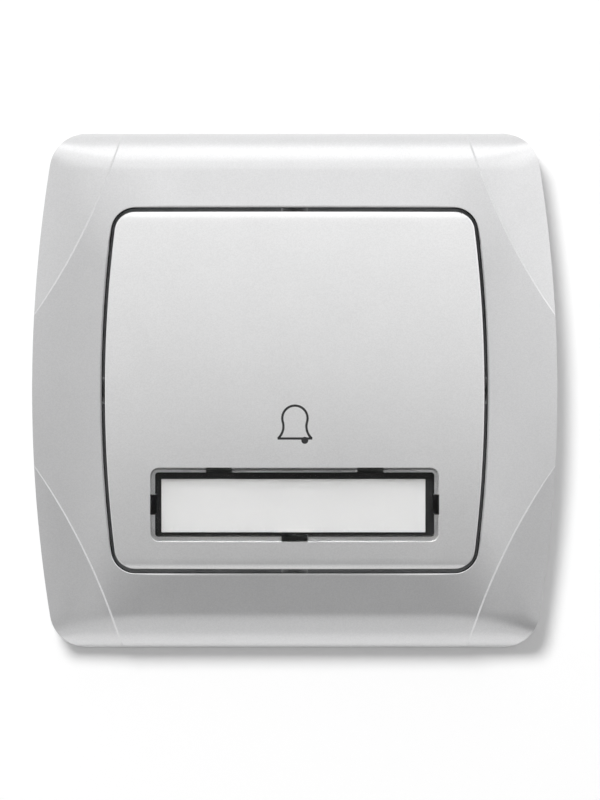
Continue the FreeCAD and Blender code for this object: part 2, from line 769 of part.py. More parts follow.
def slot(x, z, along_x, low, high):
    """A round-ended slot through the plate."""
    radius = SLOT_WIDTH / 2
    run = SLOT_LENGTH / 2 - radius
    dx, dz = (run, 0) if along_x else (0, run)
    ends = [rod(radius, x - dx, z - dz, low, high), rod(radius, x + dx, z + dz, low, high)]
    wide_x = dx if along_x else radius
    wide_z = radius if along_x else dz
    middle = block(x - wide_x, x + wide_x, low, high, z - wide_z, z + wide_z)
    return middle.fuse(ends)


def plate_ear():
    """A joggled ear at the upper right, with the window that a snap leg catches behind."""
    front = EAR_RAISE + PLATE_THICKNESS
    end_z = EAR_START + EAR_LENGTH
    profile = [
        at(0, 0, EAR_START - 1),
        at(0, PLATE_THICKNESS, EAR_START - 1),
        at(0, PLATE_THICKNESS, EAR_START),
        at(0, front, EAR_START),
        at(0, front, end_z),
        at(0, EAR_RAISE, end_z),
        at(0, EAR_RAISE, EAR_START + PLATE_THICKNESS),
        at(0, 0, EAR_START + PLATE_THICKNESS),
    ]
    ear = extruded(profile, Vector(EAR_WIDTH, 0, 0))
    ear.translate(Vector(EAR_X - EAR_WIDTH / 2, 0, 0))
    inner = EAR_WINDOW_START
    outer = inner + SNAP_THICKNESS + 2 * SNAP_CLEARANCE
    half = SNAP_WIDTH / 2 + SNAP_SIDE_CLEARANCE
    window = block(EAR_X - half, EAR_X + half, 0, front + 1, inner, outer)
    return ear.cut(window)


def mounting_plate():
    """The pressed steel plate: slots at the box's screw spacing, and four joggled ears."""
    x = PLATE_HALF_WIDTH
    z = PLATE_HALF_HEIGHT
    cut_x = x - PLATE_CORNER_CUT
    cut_z = z - PLATE_CORNER_CUT
    corners = [(cut_x, z), (x, cut_z), (x, -cut_z), (cut_x, -z)]
    corners += [(-x, z) for x, z in reversed(corners)]
    sheet = extruded([at(x, 0, z) for x, z in corners], Vector(0, -PLATE_THICKNESS, 0))
    low, high = -1, PLATE_THICKNESS + 1
    cuts = [
        block(-BEARING_INSIDE_X, BEARING_INSIDE_X, low, high, -PLATE_CUTOUT_HEIGHT / 2,
              PLATE_CUTOUT_HEIGHT / 2)
    ]
    for side in (-1, 1):
        cuts.append(slot(side * SCREW_SPACING / 2, 0, True, low, high))
        cuts.append(slot(0, side * SCREW_SPACING / 2, False, low, high))
        cuts.append(rod(CLAW_HOLE_RADIUS, side * CLAW_SCREW_X, 0, low, high))
    cuts += hook_windows(low, high)
    notch = block(
        EAR_X - EAR_WIDTH / 2 - EAR_CLEARANCE,
        EAR_X + EAR_WIDTH / 2 + EAR_CLEARANCE,
        low,
        high,
        EAR_START,
        FRAME_HEIGHT,
    )
    cuts += four_corners(notch)
    return sheet.cut(cuts).fuse(four_corners(plate_ear())).removeSplitter()


def hook_windows(low, high):
    """The passages for the housing's four hooks, with room inside for each hook to flex."""
    half = HOOK_WIDTH / 2 + HOOK_CLEARANCE
    inner = HOOK_Z - HOOK_BARB - HOOK_CLEARANCE
    outer = HOOK_Z + HOOK_THICKNESS + HOOK_CLEARANCE
    return four_corners(block(HOOK_X - half, HOOK_X + half, low, high, inner, outer))


def housing_hooks():
    """The hooks on the housing that hold the cover, with the mounting plate between them."""
    catch = COVER_FRONT + BEARING_CLEARANCE
    hook = barbed_leg(
        -HOOK_ROOT_DEPTH - 1,
        catch,
        catch + HOOK_HEAD,
        HOOK_Z,
        HOOK_THICKNESS,
        HOOK_BARB,
        HOOK_WIDTH,
    )
    hook.translate(Vector(HOOK_X, 0, 0))
    return four_corners(hook)


def mechanism_cover():
    """The insert's front, with the window for the carrier and its two snap-in bearings."""
    plate = rounded_block(
        COVER_WIDTH, COVER_HEIGHT, PLATE_THICKNESS, COVER_FRONT, COVER_CORNER_RADIUS
    )
    window = block(
        -BEARING_INSIDE_X,
        BEARING_INSIDE_X,
        0,
        COVER_FRONT + 1,
        -COVER_WINDOW_HALF_HEIGHT,
        COVER_WINDOW_HALF_HEIGHT,
    )
    bearings = []
    cuts = [window]
    mouth = TRUNNION_RADIUS * BEARING_MOUTH
    for side in (-1, 1):
        inner = side * BEARING_INSIDE_X
        outer = side * (BEARING_INSIDE_X + BEARING_THICKNESS)
        x0, x1 = sorted((inner, outer))
        bearing = block(
            x0, x1, PLATE_THICKNESS, BEARING_FRONT, -BEARING_HALF_WIDTH, BEARING_HALF_WIDTH
        )
        front_edges = []
        for edge in bearing.Edges:
            box = edge.BoundBox
            if box.YMax < -BEARING_FRONT + 0.01 and box.XLength > 1:
                front_edges.append(edge)
        bearings.append(bearing.makeFillet(BEARING_EDGE_RADIUS, front_edges))
        cuts.append(
            Part.makeCylinder(
                TRUNNION_RADIUS + BEARING_CLEARANCE,
                x1 - x0,
                at(x0, PIVOT_HEIGHT, 0),
                Vector(1, 0, 0),
            )
        )
        cuts.append(block(x0, x1, PIVOT_HEIGHT, BEARING_FRONT + 1, -mouth, mouth))
    cuts += hook_windows(0, ABOVE)
    return plate.fuse(bearings).cut(cuts).removeSplitter()


def claw_ramp():
    """The wedge in the right claw channel that pushes the claw outwards."""
    slope = CLAW_SPREAD / CLAW_TRAVEL
    start_x = CLAW_FOOT_INNER_X - CLAW_CLEARANCE
    back = CLAW_FOOT_DEPTH + (start_x - CHANNEL_FLOOR_X) / slope
    front = CLAW_FOOT_DEPTH - CLAW_TRAVEL - 0.5
    front_x = start_x + (CLAW_FOOT_DEPTH - front) * slope
    points = [
        at(CHANNEL_FLOOR_X, -back, -CHANNEL_HALF_HEIGHT),
        at(front_x, -front, -CHANNEL_HALF_HEIGHT),
        at(front_x, 1 - front, -CHANNEL_HALF_HEIGHT),
        at(CHANNEL_FLOOR_X, 1 - front, -CHANNEL_HALF_HEIGHT),
    ]
    return extruded(points, Vector(0, 0, 2 * CHANNEL_HALF_HEIGHT))


def mechanism_base():
    """The housing in the wall box: works chamber, terminal chambers and claw channels."""
    body = rounded_block(BASE_WIDTH, BASE_HEIGHT, -BASE_DEPTH, 0, BASE_CORNER_RADIUS)
    cuts = [
        block(
            -CAVITY_HALF_WIDTH,
            CAVITY_HALF_WIDTH,
            -CAVITY_DEPTH,
            1,
            CAVITY_BOTTOM,
            CAVITY_TOP,
        )
    ]
    pocket_top = CAVITY_BOTTOM - FRAME_WALL
    cuts.append(
        block(
            -POCKET_WIDTH / 2,
            POCKET_WIDTH / 2,
            -POCKET_DEPTH,
            1,
            pocket_top - POCKET_HEIGHT,
            pocket_top,
        )
    )
    chamber_depth = BASE_DEPTH - BASE_REAR_WALL
    terminal_top = TERMINAL_BOTTOM + TERMINAL_HEIGHT
    half = TERMINAL_WIDTH / 2 + TERMINAL_CLEARANCE
    ramp = claw_ramp()
    for side in (-1, 1):
        x = side * CONTACT_X
        cuts.append(
            block(
                x - half,
                x + half,
                -chamber_depth,
                -TERMINAL_FRONT_DEPTH + TERMINAL_CLEARANCE,
                TERMINAL_BOTTOM - STRIP_THICKNESS - TERMINAL_CLEARANCE,
                terminal_top + TERMINAL_CLEARANCE,
            )
        )
        cuts.append(
            block(
                x - STRIP_WIDTH / 2 - TERMINAL_CLEARANCE,
                x + STRIP_WIDTH / 2 + TERMINAL_CLEARANCE,
                -chamber_depth,
                -TERMINAL_FRONT_DEPTH,
                0,
                TERMINAL_BOTTOM,
            ).cut(block(-BASE_WIDTH, BASE_WIDTH, -BASE_DEPTH, -CAVITY_DEPTH, 0, CAVITY_TOP))
        )
        cuts.append(
            rod(WIRE_HOLE_RADIUS, x, wire_z(), -BASE_DEPTH - 1, -chamber_depth + 1)
        )
        cuts.append(
            block(
                x - SCREW_ACCESS_WIDTH / 2,
                x + SCREW_ACCESS_WIDTH / 2,
                -screw_depth() - SCREW_ACCESS_WIDTH / 2,
                SCREW_ACCESS_WIDTH / 2 - screw_depth(),
                terminal_top,
                BASE_HEIGHT,
            )
        )
        x0, x1 = sorted((side * CHANNEL_FLOOR_X, side * BASE_WIDTH))
        cuts.append(block(x0, x1, -BASE_DEPTH - 1, 1, -CHANNEL_HALF_HEIGHT, CHANNEL_HALF_HEIGHT))
    cuts += hook_windows(-HOOK_ROOT_DEPTH, 1)
    spigot_top = CAVITY_TOP + 1
    spigot = Part.makeCylinder(
        SPRING_SPIGOT_RADIUS,
        SPRING_SPIGOT_LENGTH + 1,
        Vector(0, SPRING_DEPTH, spigot_top),
        Vector(0, 0, -1),
    )
    added = [ramp, mirrored(ramp), spigot] + housing_hooks()
    return body.cut(cuts).fuse(added).removeSplitter()


def wire_z():
    """Height of the wire bores in the terminal blocks."""
    return TERMINAL_BOTTOM + TERMINAL_HEIGHT / 2


def screw_depth():
    """Depth of the terminal screws, over the middle of the wire bores."""
    return BASE_DEPTH - BASE_REAR_WALL - TERMINAL_CLEARANCE - WIRE_BORE_LENGTH / 2


def terminal(side):
    """A brass block with a bore for the wire and a hole for its clamping screw."""
    x = side * CONTACT_X
    half = TERMINAL_WIDTH / 2
    back = BASE_DEPTH - BASE_REAR_WALL - TERMINAL_CLEARANCE
    top = TERMINAL_BOTTOM + TERMINAL_HEIGHT
    body = block(x - half, x + half, -back, -TERMINAL_FRONT_DEPTH, TERMINAL_BOTTOM, top)
    bore = rod(WIRE_BORE_RADIUS, x, wire_z(), -back - 1, -back + WIRE_BORE_LENGTH)
    hole_radius = TERMINAL_SCREW_RADIUS + BEARING_CLEARANCE
    hole = Part.makeCylinder(hole_radius, TERMINAL_HEIGHT, Vector(x, screw_depth(), wire_z()))
    return body.cut([bore, hole])


def slotted_head(radius, thickness, slot_width):
    """A low round head that stands on the origin, with a driver slot across it."""
    head = Part.makeCylinder(radius, thickness)
    half = slot_width / 2
    cut = Part.makeBox(2 * radius + 2, slot_width, thickness, Vector(-radius - 1, -half, 0))
    cut.translate(Vector(0, 0, thickness / 2))
    return head.cut(cut)


def cross_head(radius, thickness, slot_width, reach):
    """A low round head with a cross recess."""
    half = slot_width / 2
    lift = Vector(0, 0, thickness / 2)
    one = Part.makeBox(2 * reach, slot_width, thickness, Vector(-reach, -half, 0) + lift)
    other = Part.makeBox(slot_width, 2 * reach, thickness, Vector(-half, -reach, 0) + lift)
    return Part.makeCylinder(radius, thickness).cut([one, other])


def terminal_screw(side):
    """The clamping screw over a wire bore, reached from above."""
    head = slotted_head(TERMINAL_SCREW_HEAD_RADIUS, TERMINAL_SCREW_HEAD, TERMINAL_SCREW_SLOT)
    length = TERMINAL_HEIGHT / 2 - WIRE_BORE_RADIUS
    shank = Part.makeCylinder(TERMINAL_SCREW_RADIUS, length, Vector(0, 0, -length))
    screw = head.fuse(shank).removeSplitter()
    screw.translate(
        Vector(side * CONTACT_X, screw_depth(), TERMINAL_BOTTOM + TERMINAL_HEIGHT)
    )
    return screw


def facing_front(shape):
    """Turns a screw that stands on its head's seat to face the front."""
    turned = shape.copy()
    turned.rotate(Vector(0, 0, 0), Vector(1, 0, 0), 90)
    return turned


def rocker_carrier():
    """The tilting actuator: clip plate, hub with two trunnions, and the leg behind them."""
    plate = block(
        -HUB_HALF_WIDTH,
        HUB_HALF_WIDTH,
        CARRIER_PLATE_BACK,
        CARRIER_PLATE_FRONT,
        -CARRIER_PLATE_HALF_HEIGHT,
        CARRIER_PLATE_HALF_HEIGHT,
    )
    plate = plate.makeFillet(CARRIER_CORNER_RADIUS, edges_across_wall(plate))
    half_x = CLIP_WIDTH / 2 + SNAP_SIDE_CLEARANCE
    inner = CLIP_Z - CLIP_THICKNESS / 2 - CLIP_CLEARANCE
    outer = CLIP_Z + CLIP_THICKNESS / 2 + CLIP_CLEARANCE
    window = block(CLIP_X - half_x, CLIP_X + half_x, 0, ABOVE, inner, outer)
    hub_profile = [
        at(0, CARRIER_PLATE_BACK, -HUB_HALF_HEIGHT),
        at(0, CARRIER_PLATE_BACK, HUB_HALF_HEIGHT),
        at(0, PIVOT_HEIGHT, HUB_HALF_HEIGHT),
        at(0, PLATE_THICKNESS, LEG_TOP),
        at(0, PLATE_THICKNESS, -LEG_TOP),
        at(0, PIVOT_HEIGHT, -HUB_HALF_HEIGHT),
    ]
    hub = extruded(hub_profile, Vector(2 * HUB_HALF_WIDTH, 0, 0))
    hub.translate(Vector(-HUB_HALF_WIDTH, 0, 0))
    leg = block(
        -LEG_WIDTH / 2, LEG_WIDTH / 2, -LEG_DEPTH, PIVOT_HEIGHT, -LEG_TOP, LEG_TOP
    )
    reach = BEARING_INSIDE_X + BEARING_THICKNESS - HUB_SIDE_PLAY
    trunnions = Part.makeCylinder(
        TRUNNION_RADIUS, 2 * reach, at(-reach, PIVOT_HEIGHT, 0), Vector(1, 0, 0)
    )
    stake = stake_block(0, LEG_TOP, BRIDGE_TOP + STAKE_HEAD)
    spigot = Part.makeCylinder(
        SPRING_SPIGOT_RADIUS, SPRING_SPIGOT_LENGTH, Vector(0, SPRING_DEPTH, LEG_TOP)
    )
    carrier = plate.cut(four_corners(window))
    return carrier.fuse([hub, leg, trunnions, stake, spigot]).removeSplitter()


def return_spring():
    """The coil of square wire between the carrier's leg and the roof of the works chamber."""
    half = SPRING_WIRE / 2
    start = LEG_TOP + SPRING_SEAT_GAP + half
    rise = CAVITY_TOP - LEG_TOP - 2 * (SPRING_SEAT_GAP + half)
    coil_radius = SPRING_RADIUS - half
    corners = [
        Vector(coil_radius - half, 0, -half),
        Vector(coil_radius + half, 0, -half),
        Vector(coil_radius + half, 0, half),
        Vector(coil_radius - half, 0, half),
    ]
    count = round(SPRING_TURNS * SPRING_STATIONS)
    sections = []
    for station in range(count + 1):
        section = Part.makePolygon(corners + corners[:1])
        section.rotate(Vector(0, 0, 0), Vector(0, 0, 1), 360 * station / SPRING_STATIONS)
        section.translate(Vector(0, SPRING_DEPTH, start + rise * station / count))
        sections.append(section)
    return Part.makeLoft(sections, True, True)


def contact_bridge():
    """The strip that joins the two fixed contacts when the rocker is pressed."""
    half = BRIDGE_WIDTH / 2
    near = CONTACT_DEPTH - BRIDGE_LENGTH / 2
    far = CONTACT_DEPTH + BRIDGE_LENGTH / 2
    strip = block(-half, half, -far, -near, LEG_TOP, BRIDGE_TOP)
    strip = strip.cut(stake_block(BEARING_CLEARANCE, 0, ABOVE))
    return strip.fuse([contact_tip(side, BRIDGE_TOP) for side in (-1, 1)])


def stake_block(clearance, bottom, top):
    """The square stake that keeps the bridge from turning, or the hole that takes it."""
    half = STAKE_WIDTH / 2 + clearance
    return block(-half, half, -CONTACT_DEPTH - half, half - CONTACT_DEPTH, bottom, top)


def contact_tip(side, bottom):
    """A square silver pad on one of the two contact places."""
    half = CONTACT_TIP_WIDTH / 2
    x = side * CONTACT_X
    depth = CONTACT_DEPTH
    return block(x - half, x + half, -depth - half, half - depth, bottom, bottom + CONTACT_TIP)


def fixed_contact(side):
    """A folded strip that carries a contact tip and runs up under its terminal block."""
    x = side * CONTACT_X
    near = CONTACT_DEPTH - BRIDGE_LENGTH / 2
    fold = TERMINAL_FRONT_DEPTH + TERMINAL_CLEARANCE
    back = BASE_DEPTH - BASE_REAR_WALL - 1
    profile = [
        Vector(0, near, STRIP_BOTTOM),
        Vector(0, fold + STRIP_THICKNESS, STRIP_BOTTOM),
        Vector(0, fold + STRIP_THICKNESS, TERMINAL_BOTTOM - STRIP_THICKNESS),
        Vector(0, back, TERMINAL_BOTTOM - STRIP_THICKNESS),
        Vector(0, back, TERMINAL_BOTTOM),
        Vector(0, fold, TERMINAL_BOTTOM),
        Vector(0, fold, STRIP_BOTTOM + STRIP_THICKNESS),
        Vector(0, near, STRIP_BOTTOM + STRIP_THICKNESS),
    ]
    strip = extruded(profile, Vector(STRIP_WIDTH, 0, 0))
    strip.translate(Vector(x - STRIP_WIDTH / 2, 0, 0))
    return strip.fuse(contact_tip(side, FIXED_TIP_Z))


def claw_screw(side):
    """The long screw that draws a claw forwards, with its head on the mounting plate."""
    head = cross_head(CLAW_HEAD_RADIUS, CLAW_HEAD, CLAW_RECESS, CLAW_RECESS_REACH)
    length = CLAW_SCREW_LENGTH + PLATE_THICKNESS
    shank = Part.makeCylinder(CLAW_SCREW_RADIUS, length, Vector(0, 0, -length))
    screw = facing_front(head.fuse(shank).removeSplitter())
    screw.translate(at(side * CLAW_SCREW_X, PLATE_THICKNESS, 0))
    return screw


def claw_nut(side):
    """The threaded bar that the claw screw draws along its channel."""
    x = side * CLAW_SCREW_X
    half = NUT_LENGTH / 2
    half_z = CHANNEL_HALF_HEIGHT - 2 * CLAW_CLEARANCE
    back = NUT_DEPTH + NUT_THICKNESS
    bar = block(x - half, x + half, -back, -NUT_DEPTH, -half_z, half_z)
    return bar.cut(rod(CLAW_SCREW_RADIUS + CLAW_SCREW_CLEARANCE, x, 0, -ABOVE, 0))


def claw_right():
    """The bent steel claw: slotted foot, arm, and a toothed lip that bites the wall box."""
    foot_back = CLAW_FOOT_DEPTH + CLAW_THICKNESS
    profile = [
        at(CLAW_FOOT_INNER_X, -CLAW_FOOT_DEPTH, -CLAW_HALF_HEIGHT),
        at(CLAW_FOOT_INNER_X, -foot_back, -CLAW_HALF_HEIGHT),
        at(CLAW_ARM_X, -foot_back, -CLAW_HALF_HEIGHT),
        at(CLAW_ARM_X, -CLAW_ARM_DEPTH - CLAW_THICKNESS, -CLAW_HALF_HEIGHT),
        at(CLAW_ARM_X + CLAW_TOOTH, -CLAW_ARM_DEPTH - CLAW_THICKNESS, -CLAW_HALF_HEIGHT),
        at(CLAW_ARM_X + CLAW_TOOTH, -CLAW_ARM_DEPTH, -CLAW_HALF_HEIGHT),
        at(CLAW_ARM_X - CLAW_THICKNESS, -CLAW_ARM_DEPTH, -CLAW_HALF_HEIGHT),
        at(CLAW_ARM_X - CLAW_THICKNESS, -CLAW_FOOT_DEPTH, -CLAW_HALF_HEIGHT),
    ]
    strip = extruded(profile, Vector(0, 0, 2 * CLAW_HALF_HEIGHT))
    half_slot = CLAW_SCREW_RADIUS + 2 * CLAW_CLEARANCE
    slot_in = CLAW_SCREW_X - CLAW_SPREAD - half_slot
    slot_out = CLAW_SCREW_X + half_slot
    cuts = [
        block(
            slot_in + half_slot, slot_out - half_slot, -foot_back - 1, 1 - CLAW_FOOT_DEPTH,
            -half_slot, half_slot,
        )
    ]
    for x in (slot_in + half_slot, slot_out - half_slot):
        cuts.append(rod(half_slot, x, 0, -foot_back - 1, 1 - CLAW_FOOT_DEPTH))
    pitch = 2 * CLAW_HALF_HEIGHT / CLAW_TEETH
    tip_x = CLAW_ARM_X + CLAW_TOOTH
    root_x = CLAW_ARM_X + CLAW_TOOTH_ROOT
    tooth_half = pitch * CLAW_TOOTH_SHARE
    for gap in range(CLAW_TEETH - 1):
        z = -CLAW_HALF_HEIGHT + (gap + 1) * pitch
        notch = [
            at(root_x, 0, z),
            at(tip_x + CLAW_CLEARANCE, 0, z + tooth_half),
            at(tip_x + CLAW_CLEARANCE, 0, z - tooth_half),
        ]
        cuts.append(extruded(notch, Vector(0, 2 * CLAW_ARM_DEPTH, 0)))
    return strip.cut(cuts)


def save(name, shape):
    if not shape.isValid():
        print("not valid:", name)
    solids = shape.Solids
    print(name, len(solids), "solid", round(shape.Volume, 2), "mm3")
    body = solids[0] if len(solids) == 1 else Part.makeCompound(solids)
    body.exportStep("parts/" + name + ".step")


def main():
    os.makedirs("parts", exist_ok=True)
    save("cover_frame", cover_frame())
    save("rocker", rocker())
    save("label_cover", label_cover())
    save("label_card", label_card())
    save("label_tray", label_tray())
    save("mounting_plate", mounting_plate())
    save("mechanism_cover", mechanism_cover())
    save("mechanism_base", mechanism_base())
    save("rocker_carrier", rocker_carrier())
    save("return_spring", return_spring())
    save("contact_bridge", contact_bridge())
    claw = claw_right()
    for name, side in (("left", -1), ("right", 1)):
        save("fixed_contact_" + name, fixed_contact(side))
        save("terminal_" + name, terminal(side))
        save("terminal_screw_" + name, terminal_screw(side))
        save("claw_screw_" + name, claw_screw(side))
        save("claw_nut_" + name, claw_nut(side))
        save("claw_" + name, claw if side > 0 else mirrored(claw))


main()
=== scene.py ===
import math

import bpy
from mathutils import Matrix, Vector


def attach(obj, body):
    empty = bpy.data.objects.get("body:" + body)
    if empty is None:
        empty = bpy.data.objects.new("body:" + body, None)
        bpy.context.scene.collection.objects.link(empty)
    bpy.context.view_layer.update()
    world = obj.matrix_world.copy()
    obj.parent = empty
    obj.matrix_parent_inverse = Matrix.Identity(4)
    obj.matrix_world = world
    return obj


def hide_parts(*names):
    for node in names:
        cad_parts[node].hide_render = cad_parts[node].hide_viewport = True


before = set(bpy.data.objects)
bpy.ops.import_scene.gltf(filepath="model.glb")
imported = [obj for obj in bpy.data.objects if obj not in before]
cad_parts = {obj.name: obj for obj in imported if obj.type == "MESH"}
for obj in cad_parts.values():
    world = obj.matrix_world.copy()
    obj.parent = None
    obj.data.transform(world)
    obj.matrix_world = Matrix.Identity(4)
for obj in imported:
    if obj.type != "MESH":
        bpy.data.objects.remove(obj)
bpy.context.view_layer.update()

# Flush doorbell push. Pieces are shaped in millimetres and made metres when they are finished.
# Heights are measured from the wall towards the front, which faces -Y.
RIGHT, BACK, UP = (1, 0, 0), (0, 1, 0), (0, 0, 1)

FRAME_WIDTH, FRAME_HEIGHT = 83.999, 82.399
FRAME_BOW, FRAME_CORNER = 230.0, 6.1
FRAME_WALL, ROLL_RADIUS = 1.9, 7.0
BAND_SLOPE = math.radians(8.0)
RIM_HEIGHT, SIDE_CROWN = 9.0, 56.0
OPENING_WIDTH, OPENING_HEIGHT, OPENING_CORNER = 61.64, 58.4, 3.85
COLLAR_WALL, COLLAR_BACK = 1.3, 3.7
CREASE_TOP_X, CREASE_SIDE_Z, CREASE_RADIUS, CREASE_STEP = 27.7, 12.2, 102.0, 0.3
FACET_FALL, SKIN_BLEND, RIM_FLARE = 0.05, 1.4, 0.3
ROCKER_SIDE_GAP, ROCKER_END_GAP = 0.57, 0.63
ROCKER_HEIGHT, ROCKER_CROWN, ROCKER_CROSS = 10.543, 340.0, 700.0
END_ROLL_RADIUS, END_ROLL, RIM_STRIP = 2.2, 1.1, 0.36
CROWN_COLUMNS, CROWN_COLUMN = 18, 3.4
ROCKER_SKIN, ROCKER_WALL, ROCKER_BACK = 1.8, 1.4, 4.3
LABEL_Z = -18.26
RECESS_WIDTH, RECESS_HEIGHT, RECESS_DEPTH, RECESS_CORNER = 46.1, 11.9, 0.9, 1.4
WINDOW_LEDGE, SEAT_MARGIN, SEAT_DEPTH = 0.8, 1.4, 2.3
TAB_LONG, TAB_SHORT, TOP_TAB_X = 4.2, 3.2, 12.07
# Height under which the rocker's sides turn near-black: painted shade for the gap round it.
PAINTED_SHADE_EDGE = 8.4

HALF_WIDTH, HALF_HEIGHT = FRAME_WIDTH / 2, FRAME_HEIGHT / 2
SIDE_BAND = (FRAME_WIDTH - OPENING_WIDTH) / 2
OPENING_BOW = FRAME_BOW - SIDE_BAND
ROCKER_WIDTH = OPENING_WIDTH - 2 * ROCKER_SIDE_GAP
ROCKER_LENGTH = OPENING_HEIGHT - 2 * ROCKER_END_GAP


def at(x, height, z):
    return Vector((x, -height, z))


def deselect_all():
    if bpy.context.object and bpy.context.object.mode != "OBJECT":
        bpy.ops.object.mode_set(mode="OBJECT")
    bpy.ops.object.select_all(action="DESELECT")


def pick(piece):
    deselect_all()
    bpy.context.view_layer.objects.active = piece
    piece.select_set(True)


def pick_edges(piece, test):
    """Selects, in edit mode, the edges that pass a test of their two ends and of how far their faces turn."""
    pick(piece)
    bpy.ops.object.mode_set(mode="EDIT")
    bpy.ops.mesh.select_mode(type="EDGE")
    bpy.ops.mesh.select_all(action="DESELECT")
    bpy.ops.object.mode_set(mode="OBJECT")
    points = piece.data.vertices
    normals = {}
    for face in piece.data.polygons:
        for key in face.edge_keys:
            normals.setdefault(key, []).append(face.normal.copy())
    for edge in piece.data.edges:
        around = normals.get(tuple(sorted(edge.vertices)), [])
        turned = around[0].angle(around[1], 0.0) if len(around) == 2 else 0.0
        edge.select = test(points[edge.vertices[0]].co, points[edge.vertices[1]].co, turned)
    bpy.ops.object.mode_set(mode="EDIT")


def closed(piece):
    """Merges doubles and turns the faces outwards."""
    pick(piece)
    bpy.ops.object.mode_set(mode="EDIT")
    bpy.ops.mesh.select_all(action="SELECT")
    bpy.ops.mesh.remove_doubles(threshold=0.002)
    bpy.ops.mesh.normals_make_consistent(inside=False)
    bpy.ops.object.mode_set(mode="OBJECT")
    return piece


def outline(name, start, strokes):
    """A flat face drawn from one point, by straight strokes and by arcs (centre, axis, degrees, steps)."""
    deselect_all()
    bpy.ops.mesh.primitive_plane_add(size=1)
    piece = bpy.context.object
    piece.name = name
    bpy.ops.object.mode_set(mode="EDIT")
    bpy.ops.mesh.select_mode(type="VERT")
    bpy.ops.mesh.select_all(action="SELECT")
    bpy.ops.mesh.merge(type="CENTER")
    bpy.ops.transform.translate(value=start)
    here = Vector(start)
    for stroke in strokes:
        if len(stroke) == 3:
            bpy.ops.mesh.extrude_region_move(
                TRANSFORM_OT_translate={"value": Vector(stroke) - here})
            here = Vector(stroke)
        else:
            centre, axis, degrees, steps = stroke
            bpy.ops.mesh.spin(
                steps=steps, angle=-math.radians(degrees), center=centre, axis=axis)
            turn = Matrix.Rotation(math.radians(degrees), 3, Vector(axis))
            here = Vector(centre) + turn @ (here - Vector(centre))
    bpy.ops.mesh.select_all(action="SELECT")
    bpy.ops.mesh.remove_doubles(threshold=0.002)
    bpy.ops.mesh.edge_face_add()
    bpy.ops.object.mode_set(mode="OBJECT")
    return piece


def extruded(piece, move):
    pick(piece)
    bpy.ops.object.mode_set(mode="EDIT")
    bpy.ops.mesh.select_all(action="SELECT")
    bpy.ops.mesh.extrude_region_move(TRANSFORM_OT_translate={"value": move})
    return closed(piece)


def spun(piece, centre, axis, degrees, steps):
    """Turns a flat outline into a solid, by half the angle to each side."""
    centre = Vector(centre)
    back = Matrix.Rotation(math.radians(-degrees / 2), 4, Vector(axis))
    piece.data.transform(Matrix.Translation(centre) @ back @ Matrix.Translation(-centre))
    pick(piece)
    bpy.ops.object.mode_set(mode="EDIT")
    bpy.ops.mesh.select_all(action="SELECT")
    bpy.ops.mesh.spin(steps=steps, angle=-math.radians(degrees), center=centre, axis=axis)
    return closed(piece)


def slab(x0, x1, low, high, z0, z1):
    """A block between two heights in front of the wall."""
    deselect_all()
    bpy.ops.mesh.primitive_cube_add(
        size=1,
        location=at((x0 + x1) / 2, (low + high) / 2, (z0 + z1) / 2),
        scale=(x1 - x0, high - low, z1 - z0))
    bpy.ops.object.transform_apply(location=True, rotation=True, scale=True)
    return bpy.context.object


def copied(piece):
    twin = piece.copy()
    twin.data = piece.data.copy()
    bpy.context.collection.objects.link(twin)
    return twin


def mirrored(piece, axis):
    twin = copied(piece)
    twin.data.transform(Matrix.Scale(-1, 4, Vector(axis)))
    twin.data.flip_normals()
    return twin


def four_corners(piece):
    pair = [piece, mirrored(piece, RIGHT)]
    return pair + [mirrored(one, UP) for one in pair]


def combine(piece, tools, operation):
    """Cuts, adds or crosses a solid with others, which are used up."""
    for tool in tools:
        pick(piece)
        joint = piece.modifiers.new("join", "BOOLEAN")
        joint.operation = operation
        joint.solver = "EXACT"
        joint.object = tool
        bpy.ops.object.modifier_apply(modifier=joint.name)
        bpy.data.objects.remove(tool)
    return piece


def bevel_edges(piece, test, width, segments=3):
    pick_edges(piece, test)
    bpy.ops.mesh.bevel(
        offset=width, offset_type="OFFSET", segments=segments, profile=0.5, clamp_overlap=False)
    bpy.ops.object.mode_set(mode="OBJECT")
    return piece


def bowed_prism(width, height, bow, corner, low, high):
    """A plate with straight top and bottom edges, bowed sides and round corners."""
    top, middle = height / 2, width / 2 - bow
    z = top - corner
    x = middle + math.sqrt((bow - corner) ** 2 - z**2)
    lean = math.degrees(math.asin(z / (bow - corner)))
    piece = outline("plate", at(-x, low, top), [
        at(x, low, top),
        (at(x, low, z), BACK, 90 - lean, 12),
        (at(middle, low, 0), BACK, 2 * lean, 64),
        (at(x, low, -z), BACK, 90 - lean, 12),
        at(-x, low, -top),
        (at(-x, low, -z), BACK, 90 - lean, 12),
        (at(-middle, low, 0), BACK, 2 * lean, 64),
        (at(-x, low, z), BACK, 90 - lean, 12),
    ])
    return extruded(piece, (0, low - high, 0))


def rounded_plate(width, height, corner, low, high):
    piece = slab(-width / 2, width / 2, low, high, -height / 2, height / 2)

    def upright(a, b, turned):
        return abs(a.y - b.y) > 0.01

    return closed(bevel_edges(piece, upright, corner, 8))


def band_height(z):
    return RIM_HEIGHT - (abs(z) - OPENING_HEIGHT / 2) * math.tan(BAND_SLOPE)


def side_height(x, z):
    out = math.hypot(abs(x) + FRAME_BOW - HALF_WIDTH, z) - OPENING_BOW
    if out < 0:
        return RIM_HEIGHT - out * math.tan(BAND_SLOPE)
    offset = SIDE_CROWN * math.sin(BAND_SLOPE) + out
    return RIM_HEIGHT - math.cos(BAND_SLOPE) * SIDE_CROWN + math.sqrt(SIDE_CROWN**2 - offset**2)


